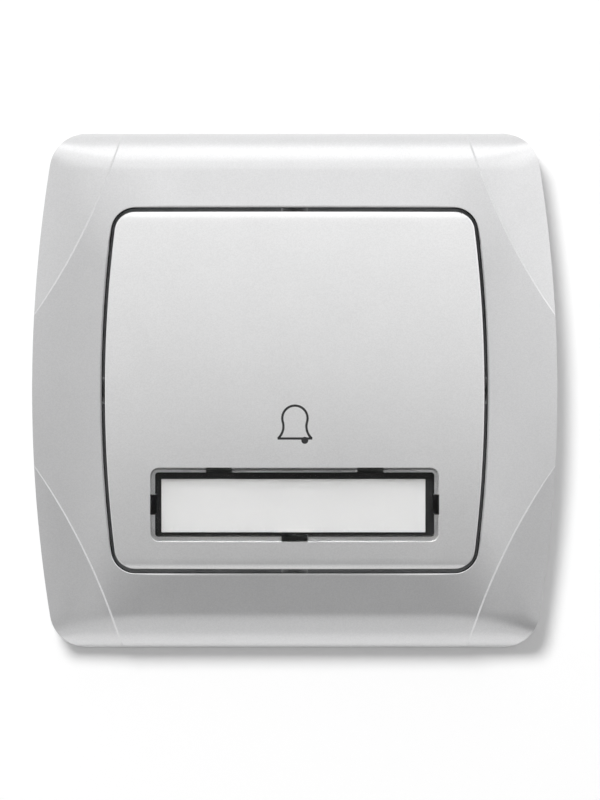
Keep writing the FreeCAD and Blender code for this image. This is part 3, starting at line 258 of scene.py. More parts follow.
def skin_height(x, z):
    """Height of the frame's front, where its bands and its sides run softly into each other."""
    roll_z = HALF_HEIGHT - ROLL_RADIUS
    band = band_height(z)
    if z > roll_z + ROLL_RADIUS * math.sin(BAND_SLOPE):
        centre = band_height(roll_z) - ROLL_RADIUS / math.cos(BAND_SLOPE)
        band = centre + math.sqrt(max(0, ROLL_RADIUS**2 - (z - roll_z) ** 2))
    side = side_height(x, z)
    near = max(SKIN_BLEND - abs(band - side), 0)
    return min(band, side) - near**2 / (4 * SKIN_BLEND)


def rolled_bands(inset):
    """The frame seen from its side: two sloping bands that roll off at the ends."""
    radius = ROLL_RADIUS - inset
    z = HALF_HEIGHT - ROLL_RADIUS
    height = band_height(z) - ROLL_RADIUS / math.cos(BAND_SLOPE)
    peak = band_height(0) - inset / math.cos(BAND_SLOPE)
    turn = 90 - math.degrees(BAND_SLOPE)
    far = (height + radius * math.cos(BAND_SLOPE), -z - radius * math.sin(BAND_SLOPE))
    piece = outline("bands", at(-HALF_WIDTH - 1, -3, z + radius), [
        at(-HALF_WIDTH - 1, height, z + radius),
        (at(-HALF_WIDTH - 1, height, z), RIGHT, turn, 40),
        at(-HALF_WIDTH - 1, peak, 0),
        at(-HALF_WIDTH - 1, far[0], far[1]),
        (at(-HALF_WIDTH - 1, height, -z), RIGHT, turn, 40),
        at(-HALF_WIDTH - 1, -3, -z - radius),
    ])
    return extruded(piece, (FRAME_WIDTH + 2, 0, 0))


def crowned_side(inset):
    """All that lies inside the crowned right side, turned about the axis of its bow."""
    crown = SIDE_CROWN - inset
    x = HALF_WIDTH - SIDE_BAND - SIDE_CROWN * math.sin(BAND_SLOPE)
    height = RIM_HEIGHT - SIDE_CROWN * math.cos(BAND_SLOPE)
    wall_x = HALF_WIDTH - inset
    wall_top = height + math.sqrt(crown**2 - (wall_x - x) ** 2)
    turn = 90 - math.degrees(math.atan2(wall_top - height, wall_x - x))
    far = -FRAME_WIDTH
    piece = outline("side", at(far, -4, 0), [
        at(wall_x, -4, 0),
        at(wall_x, wall_top, 0),
        (at(x, height, 0), UP, -turn, 20),
        at(far, height + crown, 0),
    ])
    return spun(piece, at(HALF_WIDTH - FRAME_BOW, 0, 0), BACK, 42, 168)


def crease_centre():
    side_x = HALF_WIDTH - FRAME_BOW + math.sqrt(FRAME_BOW**2 - CREASE_SIDE_Z**2)
    along = (side_x - CREASE_TOP_X, CREASE_SIDE_Z - HALF_HEIGHT)
    chord = math.hypot(*along)
    rise = math.sqrt(CREASE_RADIUS**2 - (chord / 2) ** 2)
    x = (CREASE_TOP_X + side_x) / 2 - along[1] / chord * rise
    z = (HALF_HEIGHT + CREASE_SIDE_Z) / 2 + along[0] / chord * rise
    start = math.atan2(HALF_HEIGHT - z, CREASE_TOP_X - x)
    end = math.atan2(CREASE_SIDE_Z - z, side_x - x)
    return x, z, start, end


def facet_drop(x, z):
    """How far the corner facet lies under the skin: a step at the crease, and a slight fall."""
    cx, cz, start, end = crease_centre()
    out = CREASE_RADIUS - math.hypot(x - cx, z - cz)
    share = (math.atan2(z - cz, x - cx) - start) / (end - start)
    share = max(0.0, min(1.0, share))
    return CREASE_STEP * (1 - 0.8 * share**3) + FACET_FALL * max(0, out)


def skin_block():
    """The upper right quarter under the frame's front, as a fine grid."""
    roll_z = HALF_HEIGHT - ROLL_RADIUS
    slope = math.degrees(BAND_SLOPE)
    rows = [35.17 * step / 44 for step in range(45)]
    for step in range(1, 29):
        turn = math.radians(slope + (90 - slope) * step / 28)
        rows.append(roll_z + ROLL_RADIUS * math.sin(turn))
    strokes = [at(0, skin_height(0, z), z) for z in rows] + [at(0, 0, rows[-1])]
    block = extruded(outline("skin", at(0, 0, 0), strokes), (43, 0, 0))

    def along(a, b, turned):
        return abs(a.x - b.x) > 40

    pick_edges(block, along)
    bpy.ops.mesh.subdivide(number_cuts=62)
    bpy.ops.object.mode_set(mode="OBJECT")
    for vertex in block.data.vertices:
        if vertex.co.y < -0.01:
            vertex.co.y = -skin_height(vertex.co.x, vertex.co.z)
    return block


def crease_cutter():
    """The space over the corner facet, with a riser that leans out from the crease."""
    cx, cz, start, end = crease_centre()
    beyond = (end - start) * 0.14
    first, total = start - beyond, end - start + 2 * beyond
    piece = outline("cutter", at(CREASE_RADIUS, 0, 0), [
        at(CREASE_RADIUS, -12, 0),
        at(CREASE_RADIUS - 20, -12, 0),
        at(CREASE_RADIUS - 20, 30, 0),
        at(CREASE_RADIUS + 4, 30, 0),
        at(CREASE_RADIUS + 4, 4, 0),
        at(CREASE_RADIUS + 1.5, 1.5, 0),
        at(CREASE_RADIUS + 0.45, 0.45, 0),
    ])
    turn = Matrix.Rotation(-first, 4, Vector(BACK))
    piece.data.transform(Matrix.Translation((cx, 0, cz)) @ turn)
    pick(piece)
    bpy.ops.object.mode_set(mode="EDIT")
    bpy.ops.mesh.select_all(action="SELECT")
    bpy.ops.mesh.spin(steps=160, angle=total, center=(cx, 0, cz), axis=BACK)
    closed(piece)
    for vertex in piece.data.vertices:
        if vertex.co.y < -29:
            continue
        x, z = vertex.co.x, vertex.co.z
        rise = math.hypot(x - cx, z - cz) - CREASE_RADIUS
        if rise > 0.1:
            vertex.co.y = -skin_height(x, min(z, HALF_HEIGHT)) - rise + CREASE_STEP
            continue
        angle = math.atan2(z - cz, x - cx)
        x, z = cx + CREASE_RADIUS * math.cos(angle), cz + CREASE_RADIUS * math.sin(angle)
        vertex.co.y -= skin_height(x, min(z, HALF_HEIGHT)) - facet_drop(x, z) - 0.01
    return closed(piece)


def frame_form(inset):
    """The form that lies a wall's thickness inside the frame."""
    piece = bowed_prism(
        FRAME_WIDTH - 2 * inset, FRAME_HEIGHT - 2 * inset + 0.04,
        FRAME_BOW - inset, FRAME_CORNER - inset, -2, 14)
    right = crowned_side(inset)
    return combine(piece, [rolled_bands(inset), mirrored(right, RIGHT), right], "INTERSECT")


def drawn_slab(points, x0, x1):
    """A prism along X on an outline of (z, height) points."""
    strokes = [at(x0, height, z) for z, height in points[1:]]
    piece = outline("slab", at(x0, points[0][1], points[0][0]), strokes)
    return extruded(piece, (x1 - x0, 0, 0))


def barbed_leg(root, catch, tip, inner, thickness, barb, x0, x1):
    """A snap leg that hangs from a skin, with its barb on the outer side."""
    outer = inner + thickness
    return drawn_slab([
        (inner, root), (inner, tip), (outer - 0.3, tip), (outer + barb, catch - 0.3),
        (outer + barb, catch), (outer, catch), (outer, root),
    ], x0, x1)


def opening_flare():
    """The flare that takes the sharp edge off the opening's rim."""
    low, rise = RIM_HEIGHT - RIM_FLARE, 3.0
    piece = bowed_prism(
        OPENING_WIDTH, OPENING_HEIGHT, OPENING_BOW, OPENING_CORNER, low, low + rise)
    for vertex in piece.data.vertices:
        if vertex.co.y < -low - 1:
            vertex.co.x *= 1 + 2 * rise / OPENING_WIDTH
            vertex.co.z *= 1 + 2 * rise / OPENING_HEIGHT
    return piece


def cover_frame():
    """The moulded frame: one quarter is worked, and then mirrored to the other three."""
    frame_quarter = skin_block()
    facet = copied(frame_quarter)
    for vertex in facet.data.vertices:
        if vertex.co.y < -0.01:
            vertex.co.y += facet_drop(vertex.co.x, vertex.co.z)
        else:
            vertex.co.y = 20
    cutter = combine(crease_cutter(), [facet], "DIFFERENCE")
    edge = bowed_prism(FRAME_WIDTH, FRAME_HEIGHT + 0.04, FRAME_BOW, FRAME_CORNER, -2, 14)
    combine(frame_quarter, [edge], "INTERSECT")
    combine(frame_quarter, [cutter, frame_form(FRAME_WALL)], "DIFFERENCE")
    collar = bowed_prism(
        OPENING_WIDTH + 2 * COLLAR_WALL, OPENING_HEIGHT + 2 * COLLAR_WALL,
        OPENING_BOW + COLLAR_WALL, OPENING_CORNER + COLLAR_WALL, COLLAR_BACK, 7.6)
    combine(collar, [slab(0, 60, 0, 20, 0, 60)], "INTERSECT")
    leg = barbed_leg(7.8, 2.05, 0.5, 31.05, 1.2, 0.7, 13.0, 19.0)
    end_rib = drawn_slab([
        (29.6, 3.8), (29.6, 8.0), (35.0, 7.2), (38.1, 5.8), (39.7, 3.8)], 24.1, 25.1)
    side_rib = outline("rib", at(31.2, 3.8, 9.5), [
        at(31.2, 8.0, 9.5), at(40.4, 5.5, 9.5), at(40.4, 3.8, 9.5)])
    extruded(side_rib, (0, 0, 1.0))
    combine(frame_quarter, [collar, leg, end_rib, side_rib], "UNION")
    opening = bowed_prism(
        OPENING_WIDTH, OPENING_HEIGHT, OPENING_BOW, OPENING_CORNER, -4, 20)
    combine(frame_quarter, [opening, opening_flare()], "DIFFERENCE")
    pick(frame_quarter)
    bpy.ops.object.mode_set(mode="EDIT")
    bpy.ops.mesh.select_mode(type="FACE")
    bpy.ops.mesh.select_all(action="DESELECT")
    bpy.ops.object.mode_set(mode="OBJECT")
    for face in frame_quarter.data.polygons:
        corners = [frame_quarter.data.vertices[index].co for index in face.vertices]
        flat_x = max(abs(corner.x) for corner in corners) < 0.001
        flat_z = max(abs(corner.z) for corner in corners) < 0.001
        face.select = flat_x or flat_z
    bpy.ops.object.mode_set(mode="EDIT")
    bpy.ops.mesh.delete(type="FACE")
    bpy.ops.object.mode_set(mode="OBJECT")
    mirror = frame_quarter.modifiers.new("quarters", "MIRROR")
    mirror.use_axis = (True, False, True)
    mirror.merge_threshold = 0.002
    bpy.ops.object.modifier_apply(modifier=mirror.name)
    return closed(frame_quarter)


def rocker_crown():
    """All that lies under the rocker's doubly curved front, with its rolled ends.

    Its rows stop short of the straight rims and its columns miss the bowed ones, because a
    line that meets a rim at a shallow angle would fold the rim's rounding.
    """
    start_z = ROCKER_LENGTH / 2 - END_ROLL
    lean = math.asin(start_z / ROCKER_CROWN)
    start_h = ROCKER_HEIGHT - ROCKER_CROWN * (1 - math.cos(lean))
    z = start_z - END_ROLL_RADIUS * math.sin(lean)
    height = start_h - END_ROLL_RADIUS * math.cos(lean)
    end_z = ROCKER_LENGTH / 2 - RIM_STRIP
    steep = math.asin((end_z - z) / END_ROLL_RADIUS)
    end_h = height + END_ROLL_RADIUS * math.cos(steep)
    far, far_h = end_z + 1, end_h - math.tan(steep + 0.06)
    turn = math.degrees(steep - lean)
    piece = outline("crown", at(0, 1, far), [
        at(0, far_h, far),
        at(0, end_h, end_z),
        (at(0, height, z), RIGHT, turn, 2),
        (at(0, ROCKER_HEIGHT - ROCKER_CROWN, 0), RIGHT, 2 * math.degrees(lean), 72),
        (at(0, height, -z), RIGHT, turn, 2),
        at(0, far_h, -far),
        at(0, 1, -far),
    ])
    sweep = math.degrees(CROWN_COLUMNS * CROWN_COLUMN / ROCKER_CROSS)
    axis = at(0, ROCKER_HEIGHT - ROCKER_CROSS, 0)
    return spun(piece, axis, UP, sweep, CROWN_COLUMNS)


def rocker_prism(inset, low):
    return bowed_prism(
        ROCKER_WIDTH - 2 * inset, ROCKER_LENGTH - 2 * inset,
        OPENING_BOW - ROCKER_SIDE_GAP - inset, OPENING_CORNER - ROCKER_SIDE_GAP - inset, low, 14)


def in_label_place(piece):
    """Tilts a piece made flat at the origin to lie under the crown at the name window."""
    tilt = math.asin(-LABEL_Z / ROCKER_CROWN)
    height = ROCKER_HEIGHT - ROCKER_CROWN * (1 - math.cos(tilt))
    place = Matrix.Translation(at(0, height, LABEL_Z)) @ Matrix.Rotation(tilt, 4, "X")
    piece.data.transform(place)
    return piece


def tab_slabs(clearance, inner, outer, near, far):
    """A block at each of the five clip tabs, between two distances in from the recess wall."""
    z, x = RECESS_HEIGHT / 2, RECESS_WIDTH / 2
    long, short = TAB_LONG / 2 - clearance, TAB_SHORT / 2 - clearance
    slabs = []
    for middle in (-TOP_TAB_X, TOP_TAB_X):
        slabs.append(slab(middle - long, middle + long, -far, -near, z - inner, z - outer))
    slabs.append(slab(-long, long, -far, -near, outer - z, inner - z))
    slabs.append(slab(x - inner, x - outer, -far, -near, -short, short))
    slabs.append(slab(outer - x, inner - x, -far, -near, -short, short))
    return [in_label_place(one) for one in slabs]


def rocker():
    shell = combine(rocker_prism(0, ROCKER_BACK), [rocker_crown()], "INTERSECT")
    start = at(-40, 1, 31)
    top = ROCKER_HEIGHT - ROCKER_SKIN - ROCKER_CROWN + ROCKER_SKIN
    radius = ROCKER_CROWN - ROCKER_SKIN
    lean = math.degrees(math.asin(31 / radius))
    edge = top + math.sqrt(radius**2 - 31**2)
    under = outline("under", start, [
        at(-40, edge, 31), (at(-40, top, 0), RIGHT, 2 * lean, 40), at(-40, 1, -31)])
    extruded(under, (80, 0, 0))
    hollow = combine(rocker_prism(ROCKER_WALL, 2), [under], "INTERSECT")
    combine(shell, [hollow], "DIFFERENCE")
    seat = rounded_plate(
        RECESS_WIDTH + 2 * SEAT_MARGIN, RECESS_HEIGHT + 2 * SEAT_MARGIN, 1.5,
        -SEAT_DEPTH, -RECESS_DEPTH - 0.1)
    rib = slab(12.4, 13.6, 6.45, 9.3, -9.5, 9.5)
    leg = barbed_leg(9.3, 4.8, 4.0, 6.8, 1.2, 0.5, 7.0, 11.0)
    combine(shell, [in_label_place(seat), mirrored(rib, RIGHT), rib] + four_corners(leg), "UNION")
    recess = rounded_plate(RECESS_WIDTH, RECESS_HEIGHT, RECESS_CORNER, -RECESS_DEPTH, 6)
    window = rounded_plate(
        RECESS_WIDTH - 2 * WINDOW_LEDGE, RECESS_HEIGHT - 2 * WINDOW_LEDGE, 0.5, -3.5, 5)
    opening = in_label_place(recess)
    combine(opening, [in_label_place(window)] + tab_slabs(0, 1.0, 0.01, -1.5, 3.7), "UNION")
    combine(shell, [opening], "DIFFERENCE")

    def front_rim(a, b, turned):
        end = ROCKER_LENGTH / 2 - 1.5
        side = OPENING_BOW - ROCKER_SIDE_GAP
        round_rim = math.hypot(abs(a.x) + side - ROCKER_WIDTH / 2, a.z) > side - 0.5
        return a.y < -8 and b.y < -8 and turned > 0.75 and (abs(a.z) > end or round_rim)

    pick_edges(shell, front_rim)
    bpy.ops.mesh.remove_doubles(threshold=0.06)
    bevel_edges(shell, front_rim, 0.2)
    # The rocker is cut at the height where the painted shade on its sides begins.
    pick(shell)
    bpy.ops.object.mode_set(mode="EDIT")
    bpy.ops.mesh.select_all(action="SELECT")
    bpy.ops.mesh.bisect(plane_co=(0, -PAINTED_SHADE_EDGE, 0), plane_no=BACK)
    bpy.ops.object.mode_set(mode="OBJECT")
    return shell


def label_cover():
    """The clear pane, flush with the crown, with its five clip tabs."""
    pane = rounded_plate(RECESS_WIDTH - 0.2, RECESS_HEIGHT - 0.2, RECESS_CORNER - 0.1, -0.8, 4)
    combine(in_label_place(pane), [rocker_crown()], "INTERSECT")

    def rim(a, b, turned):
        return turned > 1.2 and abs(a.y - b.y) < 0.3

    bevel_edges(pane, rim, 0.1, 3)
    tabs = tab_slabs(0.1, 0.75, 0.15, 0.4, 4.6) + tab_slabs(0.12, 0.6, -0.5, 4.1, 4.58)
    return combine(pane, tabs, "UNION")


def bell_sign():
    """The printed bell over the name window: a line of even width with a filled clapper."""
    x, top_z, radius, flare = 0.04, -4.45, 2.2, 2.353
    lean = math.radians(13.5)
    side = radius * math.cos(lean) - 0.058
    waist_z = -5.75
    hip = side + flare * math.cos(lean)
    foot = hip - math.sqrt(flare**2 - 1.75**2)
    line = outline("bell", at(x + radius * math.cos(lean), 0, top_z - radius * math.sin(lean)), [
        at(x + side, 0, waist_z + 0.55),
        (at(x + hip, 0, waist_z), BACK, -61.5, 14),
        at(x + foot - 0.03, 0, -7.86),
        at(x - foot + 0.03, 0, -7.86),
        at(x - foot, 0, waist_z - 1.75),
        (at(x - hip, 0, waist_z), BACK, -61.5, 14),
        at(x - radius * math.cos(lean), 0, top_z - radius * math.sin(lean)),
        (at(x, 0, top_z), BACK, 207, 48),
    ])
    pick(line)
    bpy.ops.object.mode_set(mode="EDIT")
    bpy.ops.mesh.select_all(action="SELECT")
    bpy.ops.mesh.inset(thickness=0.37, depth=0)
    bpy.ops.mesh.delete(type="FACE")
    bpy.ops.object.mode_set(mode="OBJECT")
    extruded(line, (0, -0.03, 0))
    clapper = outline("clapper", at(1.61 + 0.56, 0.002, -7.97), [
        (at(1.61, 0.002, -7.97), BACK, 360, 32)])
    extruded(clapper, (0, -0.03, 0))
    combine(line, [clapper], "UNION")
    for vertex in line.data.vertices:
        x, z = vertex.co.x, vertex.co.z
        height = ROCKER_HEIGHT - x**2 / (2 * ROCKER_CROSS) - z**2 / (2 * ROCKER_CROWN)
        vertex.co.y = -height - (0.007 if vertex.co.y < -0.01 else -0.02)
    return line


def machine_screw(x, head, radius, length, pitch):
    """A cross-recessed claw screw with a rolled thread, its head on the mounting plate."""
    head_radius, thickness = head
    core = radius - 0.28
    deselect_all()
    bpy.ops.mesh.primitive_cylinder_add(
        vertices=48, radius=head_radius, depth=thickness, location=at(x, 1 + thickness / 2, 0),
        rotation=(math.pi / 2, 0, 0))
    bpy.ops.object.transform_apply(location=True, rotation=True, scale=True)
    screw = bpy.context.object

    def front_edge(a, b, turned):
        return a.y < -thickness and b.y < -thickness and turned > 1

    bevel_edges(screw, front_edge, 0.7, 6)
    recess = []
    for wide, tall in ((1.8, 0.4), (0.4, 1.8)):
        arm = slab(x - wide, x + wide, 1 + thickness - 1.1, 1 + thickness + 1, -tall, tall)
        pick(arm)
        bpy.ops.object.mode_set(mode="EDIT")
        bpy.ops.mesh.select_mode(type="FACE")
        bpy.ops.mesh.select_all(action="DESELECT")
        bpy.ops.object.mode_set(mode="OBJECT")
        for face in arm.data.polygons:
            face.select = face.normal.y > 0.9
        bpy.ops.object.mode_set(mode="EDIT")
        bpy.ops.transform.resize(
            value=(0.62, 1, 0.62), center_override=at(x, 1 + thickness - 1.1, 0))
        bpy.ops.object.mode_set(mode="OBJECT")
        recess.append(arm)
    combine(screw, recess, "DIFFERENCE")
    deselect_all()
    bpy.ops.mesh.primitive_cylinder_add(
        vertices=32, radius=core, depth=length + 0.5,
        location=at(x, 1.5 - (length + 0.5) / 2, 0), rotation=(math.pi / 2, 0, 0))
    bpy.ops.object.transform_apply(location=True, rotation=True, scale=True)
    shank = bpy.context.object

    def point_edge(a, b, turned):
        return a.y > 1 and b.y > 1 and turned > 1

    bevel_edges(shank, point_edge, 0.5, 2)
    turns = int((length - 1.6) / pitch)
    deselect_all()
    bpy.ops.mesh.primitive_plane_add(size=1)
    bpy.ops.object.mode_set(mode="EDIT")
    bpy.ops.mesh.select_all(action="SELECT")
    bpy.ops.mesh.merge(type="CENTER")
    bpy.ops.transform.translate(value=(core - 0.12, 0, 0))
    bpy.ops.mesh.extrude_region_move(
        TRANSFORM_OT_translate={"value": (radius - core + 0.12, 0, pitch * 0.46)})
    bpy.ops.mesh.extrude_region_move(
        TRANSFORM_OT_translate={"value": (core - 0.12 - radius, 0, pitch * 0.46)})
    bpy.ops.mesh.select_all(action="SELECT")
    bpy.ops.mesh.edge_face_add()
    bpy.ops.object.mode_set(mode="OBJECT")
    thread = wound(bpy.context.object, pitch, turns, 20)
    thread.data.transform(
        Matrix.Translation(at(x, 1 - length + 0.5, 0)) @ Matrix.Rotation(math.pi / 2, 4, "X"))
    combine(shank, [thread], "UNION")
    return combine(screw, [shank], "UNION")


def wound(section, rise, turns, steps):
    """Winds a section round the upright axis, and closes the two ends."""
    pick(section)
    winding = section.modifiers.new("winding", "SCREW")
    winding.angle = 2 * math.pi
    winding.screw_offset = rise
    winding.iterations = turns
    winding.steps = winding.render_steps = steps
    bpy.ops.object.modifier_apply(modifier=winding.name)
    bpy.ops.object.mode_set(mode="EDIT")
    bpy.ops.mesh.select_all(action="SELECT")
    bpy.ops.mesh.remove_doubles(threshold=0.0005)
    bpy.ops.mesh.fill_holes(sides=0)
    bpy.ops.mesh.normals_make_consistent(inside=False)
    bpy.ops.object.mode_set(mode="OBJECT")
    return section


def return_spring():
    """A coil of round spring wire in the upper half of the works chamber."""
    wire, coil, turns, low, high = 0.225, 1.875, 5, 1.7, 9.5
    deselect_all()
    bpy.ops.mesh.primitive_circle_add(
        vertices=14, radius=wire, fill_type="NGON", rotation=(math.pi / 2, 0, 0))
    bpy.ops.object.transform_apply(location=True, rotation=True, scale=True)
    spring = bpy.context.object
    spring.data.transform(Matrix.Translation((coil, 0, 0)))
    wound(spring, (high - low - 2 * wire) / turns, turns, 32)
    spring.data.transform(Matrix.Translation(at(0, -5.4, low + wire)))
    return spring


def dressed(node, width=0.12):
    """A copy of a CAD part with its triangles joined into faces and its edges broken."""
    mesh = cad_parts[node].data.copy()
    mesh.transform(Matrix.Scale(1000, 4))
    mesh.materials.clear()
    piece = bpy.data.objects.new(node, mesh)
    bpy.context.collection.objects.link(piece)
    pick(piece)
    bpy.ops.object.mode_set(mode="EDIT")
    bpy.ops.mesh.select_all(action="SELECT")
    bpy.ops.mesh.remove_doubles(threshold=0.002)
    bpy.ops.mesh.dissolve_limited(angle_limit=math.radians(1))
    bpy.ops.object.mode_set(mode="OBJECT")
    broken = piece.modifiers.new("broken edges", "BEVEL")
    broken.width = width
    broken.segments = 2
    broken.limit_method = "ANGLE"
    broken.angle_limit = math.radians(35)
    broken.use_clamp_overlap = True
    bpy.ops.object.modifier_apply(modifier=broken.name)
    return piece


def finished(piece, name, body, material, nodes=(), angle=20):
    """Smooths a piece, makes it metres, and lets it ride in place of its CAD nodes."""
    pick(piece)
    bpy.ops.object.shade_smooth_by_angle(angle=math.radians(angle))
    shading = piece.modifiers.new("shading", "WEIGHTED_NORMAL")
    shading.keep_sharp = True
    bpy.ops.object.modifier_apply(modifier=shading.name)
    piece.data.transform(Matrix.Scale(0.001, 4))
    piece.name = piece.data.name = name
    piece.data.materials.clear()
    piece.data.materials.append(material)
    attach(piece, body)
    if nodes:
        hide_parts(*nodes)
    return piece


def painted_shade_and_bare(piece, material, test):
    """Gives near-black plastic to the faces that a test picks: painted shade on the walls of the gaps round the rocker
    and in the name window, and the unlacquered inside and back.
    """
    piece.data.materials.append(material)
    for face in piece.data.polygons:
        if test(face.center * 1000, face.normal):
            face.material_index = 1


# Painted shade: the opening's walls, where the gap round the rocker lies in shade, turn near-black; the frame's inside
# and back are the unlacquered plastic.
def frame_shade_and_bare(centre, normal):
    out = math.hypot(abs(centre.x) + FRAME_BOW - HALF_WIDTH, centre.z) - OPENING_BOW
    if normal.y < -0.05:
        return False
    outwards = normal.x * centre.x + normal.z * centre.z > 0
    return not (outwards and (abs(centre.z) > 34 or out > 5))


# Painted shade: the rocker's sides below the rim, and the name window's walls under the ledge, turn near-black for the
# shade that falls there; its back is the unlacquered plastic.
def rocker_shade_and_bare(centre, normal):
    depth = ROCKER_HEIGHT + centre.y - (centre.z / 2) ** 2 / (ROCKER_CROWN / 2)
    recess = abs(centre.x) < 23.1 and abs(centre.z - LABEL_Z) < 6.2
    if recess and depth < RECESS_DEPTH + 0.1:
        return False
    return normal.y > 0.2 or centre.y > -PAINTED_SHADE_EDGE or (abs(centre.x) < 29 and normal.y > -0.2 and abs(centre.z) < 27.5)


def put(tree, kind, **values):
    """Adds a node and sets its properties, or its inputs where the name is one of theirs."""
    node = tree.nodes.new("ShaderNode" + kind)
    for name, value in values.items():
        socket = node.inputs.get(name.replace("_", " ").title())
        if socket is not None:
            socket.default_value = value
        else:
            setattr(node, name, value)
    return node


def sums(tree, operation, first, second, third=None):
    """A Math node on values or on other nodes' outputs."""
    node = tree.nodes.new("ShaderNodeMath")
    node.operation = operation
    for index, value in enumerate((first, second, third)):
        if value is None:
            continue
        if isinstance(value, (int, float)):
            node.inputs[index].default_value = value
        else:
            tree.links.new(value, node.inputs[index])
    return node.outputs[0]


def ranged(tree, value, low, high, to_low, to_high):
    node = put(tree, "MapRange")
    for index, number in enumerate((low, high, to_low, to_high)):
        node.inputs[index + 1].default_value = number
    tree.links.new(value, node.inputs[0])
    return node.outputs[0]


def new_group(name, inputs, outputs):
    group = bpy.data.node_groups.new(name, "ShaderNodeTree")
    group.interface.new_socket("Vector", in_out="INPUT", socket_type="NodeSocketVector")
    for socket, value in inputs:
        made = group.interface.new_socket(socket, in_out="INPUT", socket_type="NodeSocketFloat")
        made.default_value = value
    for socket in outputs:
        group.interface.new_socket(socket, in_out="OUTPUT", socket_type="NodeSocketFloat")
    return group, group.nodes.new("NodeGroupInput"), group.nodes.new("NodeGroupOutput")


def noise(tree, vector, scale, detail=2.0, roughness=0.5):
    node = put(tree, "TexNoise", detail=detail, roughness=roughness)
    tree.links.new(vector, node.inputs["Vector"])
    if isinstance(scale, (int, float)):
        node.inputs["Scale"].default_value = scale
    else:
        tree.links.new(scale, node.inputs["Scale"])
    return node.outputs["Fac"]


def stretched(tree, vector, x, y, z):
    node = put(tree, "Mapping")
    node.inputs["Scale"].default_value = (x, y, z)
    tree.links.new(vector, node.inputs["Vector"])
    return node.outputs["Vector"]


def metal_flake_group():
    """Flakes in a metallic lacquer: each one a little lighter or darker, over soft clouds."""
    group, given, out = new_group(
        "metal flake", [("Flake Scale", 7000.0), ("Contrast", 0.05)], ["Tone", "Height"])
    flakes = put(group, "TexVoronoi", feature="F1")
    group.links.new(given.outputs["Vector"], flakes.inputs["Vector"])
    group.links.new(given.outputs["Flake Scale"], flakes.inputs["Scale"])
    parts = put(group, "SeparateColor")
    group.links.new(flakes.outputs["Color"], parts.inputs[0])
    spread = sums(group, "SUBTRACT", parts.outputs[0], 0.5)
    clouds = sums(group, "SUBTRACT", noise(group, given.outputs["Vector"], 140.0, 3.0), 0.5)
    both = sums(group, "ADD", spread, sums(group, "MULTIPLY", clouds, 0.8))
    tone = sums(group, "MULTIPLY_ADD", both, given.outputs["Contrast"], 1.0)
    group.links.new(tone, out.inputs["Tone"])
    group.links.new(parts.outputs[1], out.inputs["Height"])
    return group


def moulded_grain_group():
    """The fine spark-eroded grain of a moulded surface, with faint flow clouds."""
    group, given, out = new_group(
        "moulded grain", [("Grain Scale", 3200.0), ("Contrast", 0.08)], ["Tone", "Height"])
    fine = noise(group, given.outputs["Vector"], given.outputs["Grain Scale"], 3.0, 0.6)
    flow = noise(group, stretched(group, given.outputs["Vector"], 1, 1, 0.35), 90.0, 2.0)
    both = sums(group, "ADD", sums(group, "SUBTRACT", fine, 0.5), sums(group, "SUBTRACT", flow, 0.5))
    group.links.new(sums(group, "MULTIPLY_ADD", both, given.outputs["Contrast"], 1.0), out.inputs["Tone"])
    group.links.new(fine, out.inputs["Height"])
    return group


def handling_group():
    """Faint smears and hairlines that hands and tools leave."""
    group, given, out = new_group("handling marks", [("Amount", 0.3)], ["Mask"])
    smears = noise(group, stretched(group, given.outputs["Vector"], 1, 1, 0.5), 60.0, 4.0, 0.6)
    smears = ranged(group, smears, 0.5, 0.75, 0.0, 1.0)
    lines = noise(group, stretched(group, given.outputs["Vector"], 300, 300, 9000), 1.0, 1.0)
    lines = ranged(group, lines, 0.68, 0.74, 0.0, 0.6)
    both = sums(group, "MAXIMUM", smears, lines)
    group.links.new(sums(group, "MULTIPLY", both, given.outputs["Amount"]), out.inputs["Mask"])
    return group


def dust_group():
    """Light dust where a surface faces up."""
    group, given, out = new_group("dust", [("Amount", 0.3)], ["Mask"])
    facing = put(group, "NewGeometry")
    parts = put(group, "SeparateXYZ")
    group.links.new(facing.outputs["Normal"], parts.inputs[0])
    upward = ranged(group, parts.outputs["Z"], 0.3, 1.0, 0.0, 1.0)
    specks = ranged(group, noise(group, given.outputs["Vector"], 900.0, 5.0, 0.7), 0.45, 0.8, 0.0, 1.0)
    both = sums(group, "MULTIPLY", upward, specks)
    group.links.new(sums(group, "MULTIPLY", both, given.outputs["Amount"]), out.inputs["Mask"])
    return group


def rolled_metal_group():
    """Rolling lines and a mottled plating on sheet and wire."""
    group, given, out = new_group(
        "rolled metal", [("Line Scale", 5000.0), ("Contrast", 0.1)], ["Tone", "Height"])
    lines = noise(group, stretched(group, given.outputs["Vector"], 0.04, 1, 1), given.outputs["Line Scale"], 2.0)
    mottle = noise(group, given.outputs["Vector"], 320.0, 3.0, 0.6)
    both = sums(group, "ADD", sums(group, "SUBTRACT", lines, 0.5), sums(group, "SUBTRACT", mottle, 0.5))
    group.links.new(sums(group, "MULTIPLY_ADD", both, given.outputs["Contrast"], 1.0), out.inputs["Tone"])
    group.links.new(lines, out.inputs["Height"])
    return group


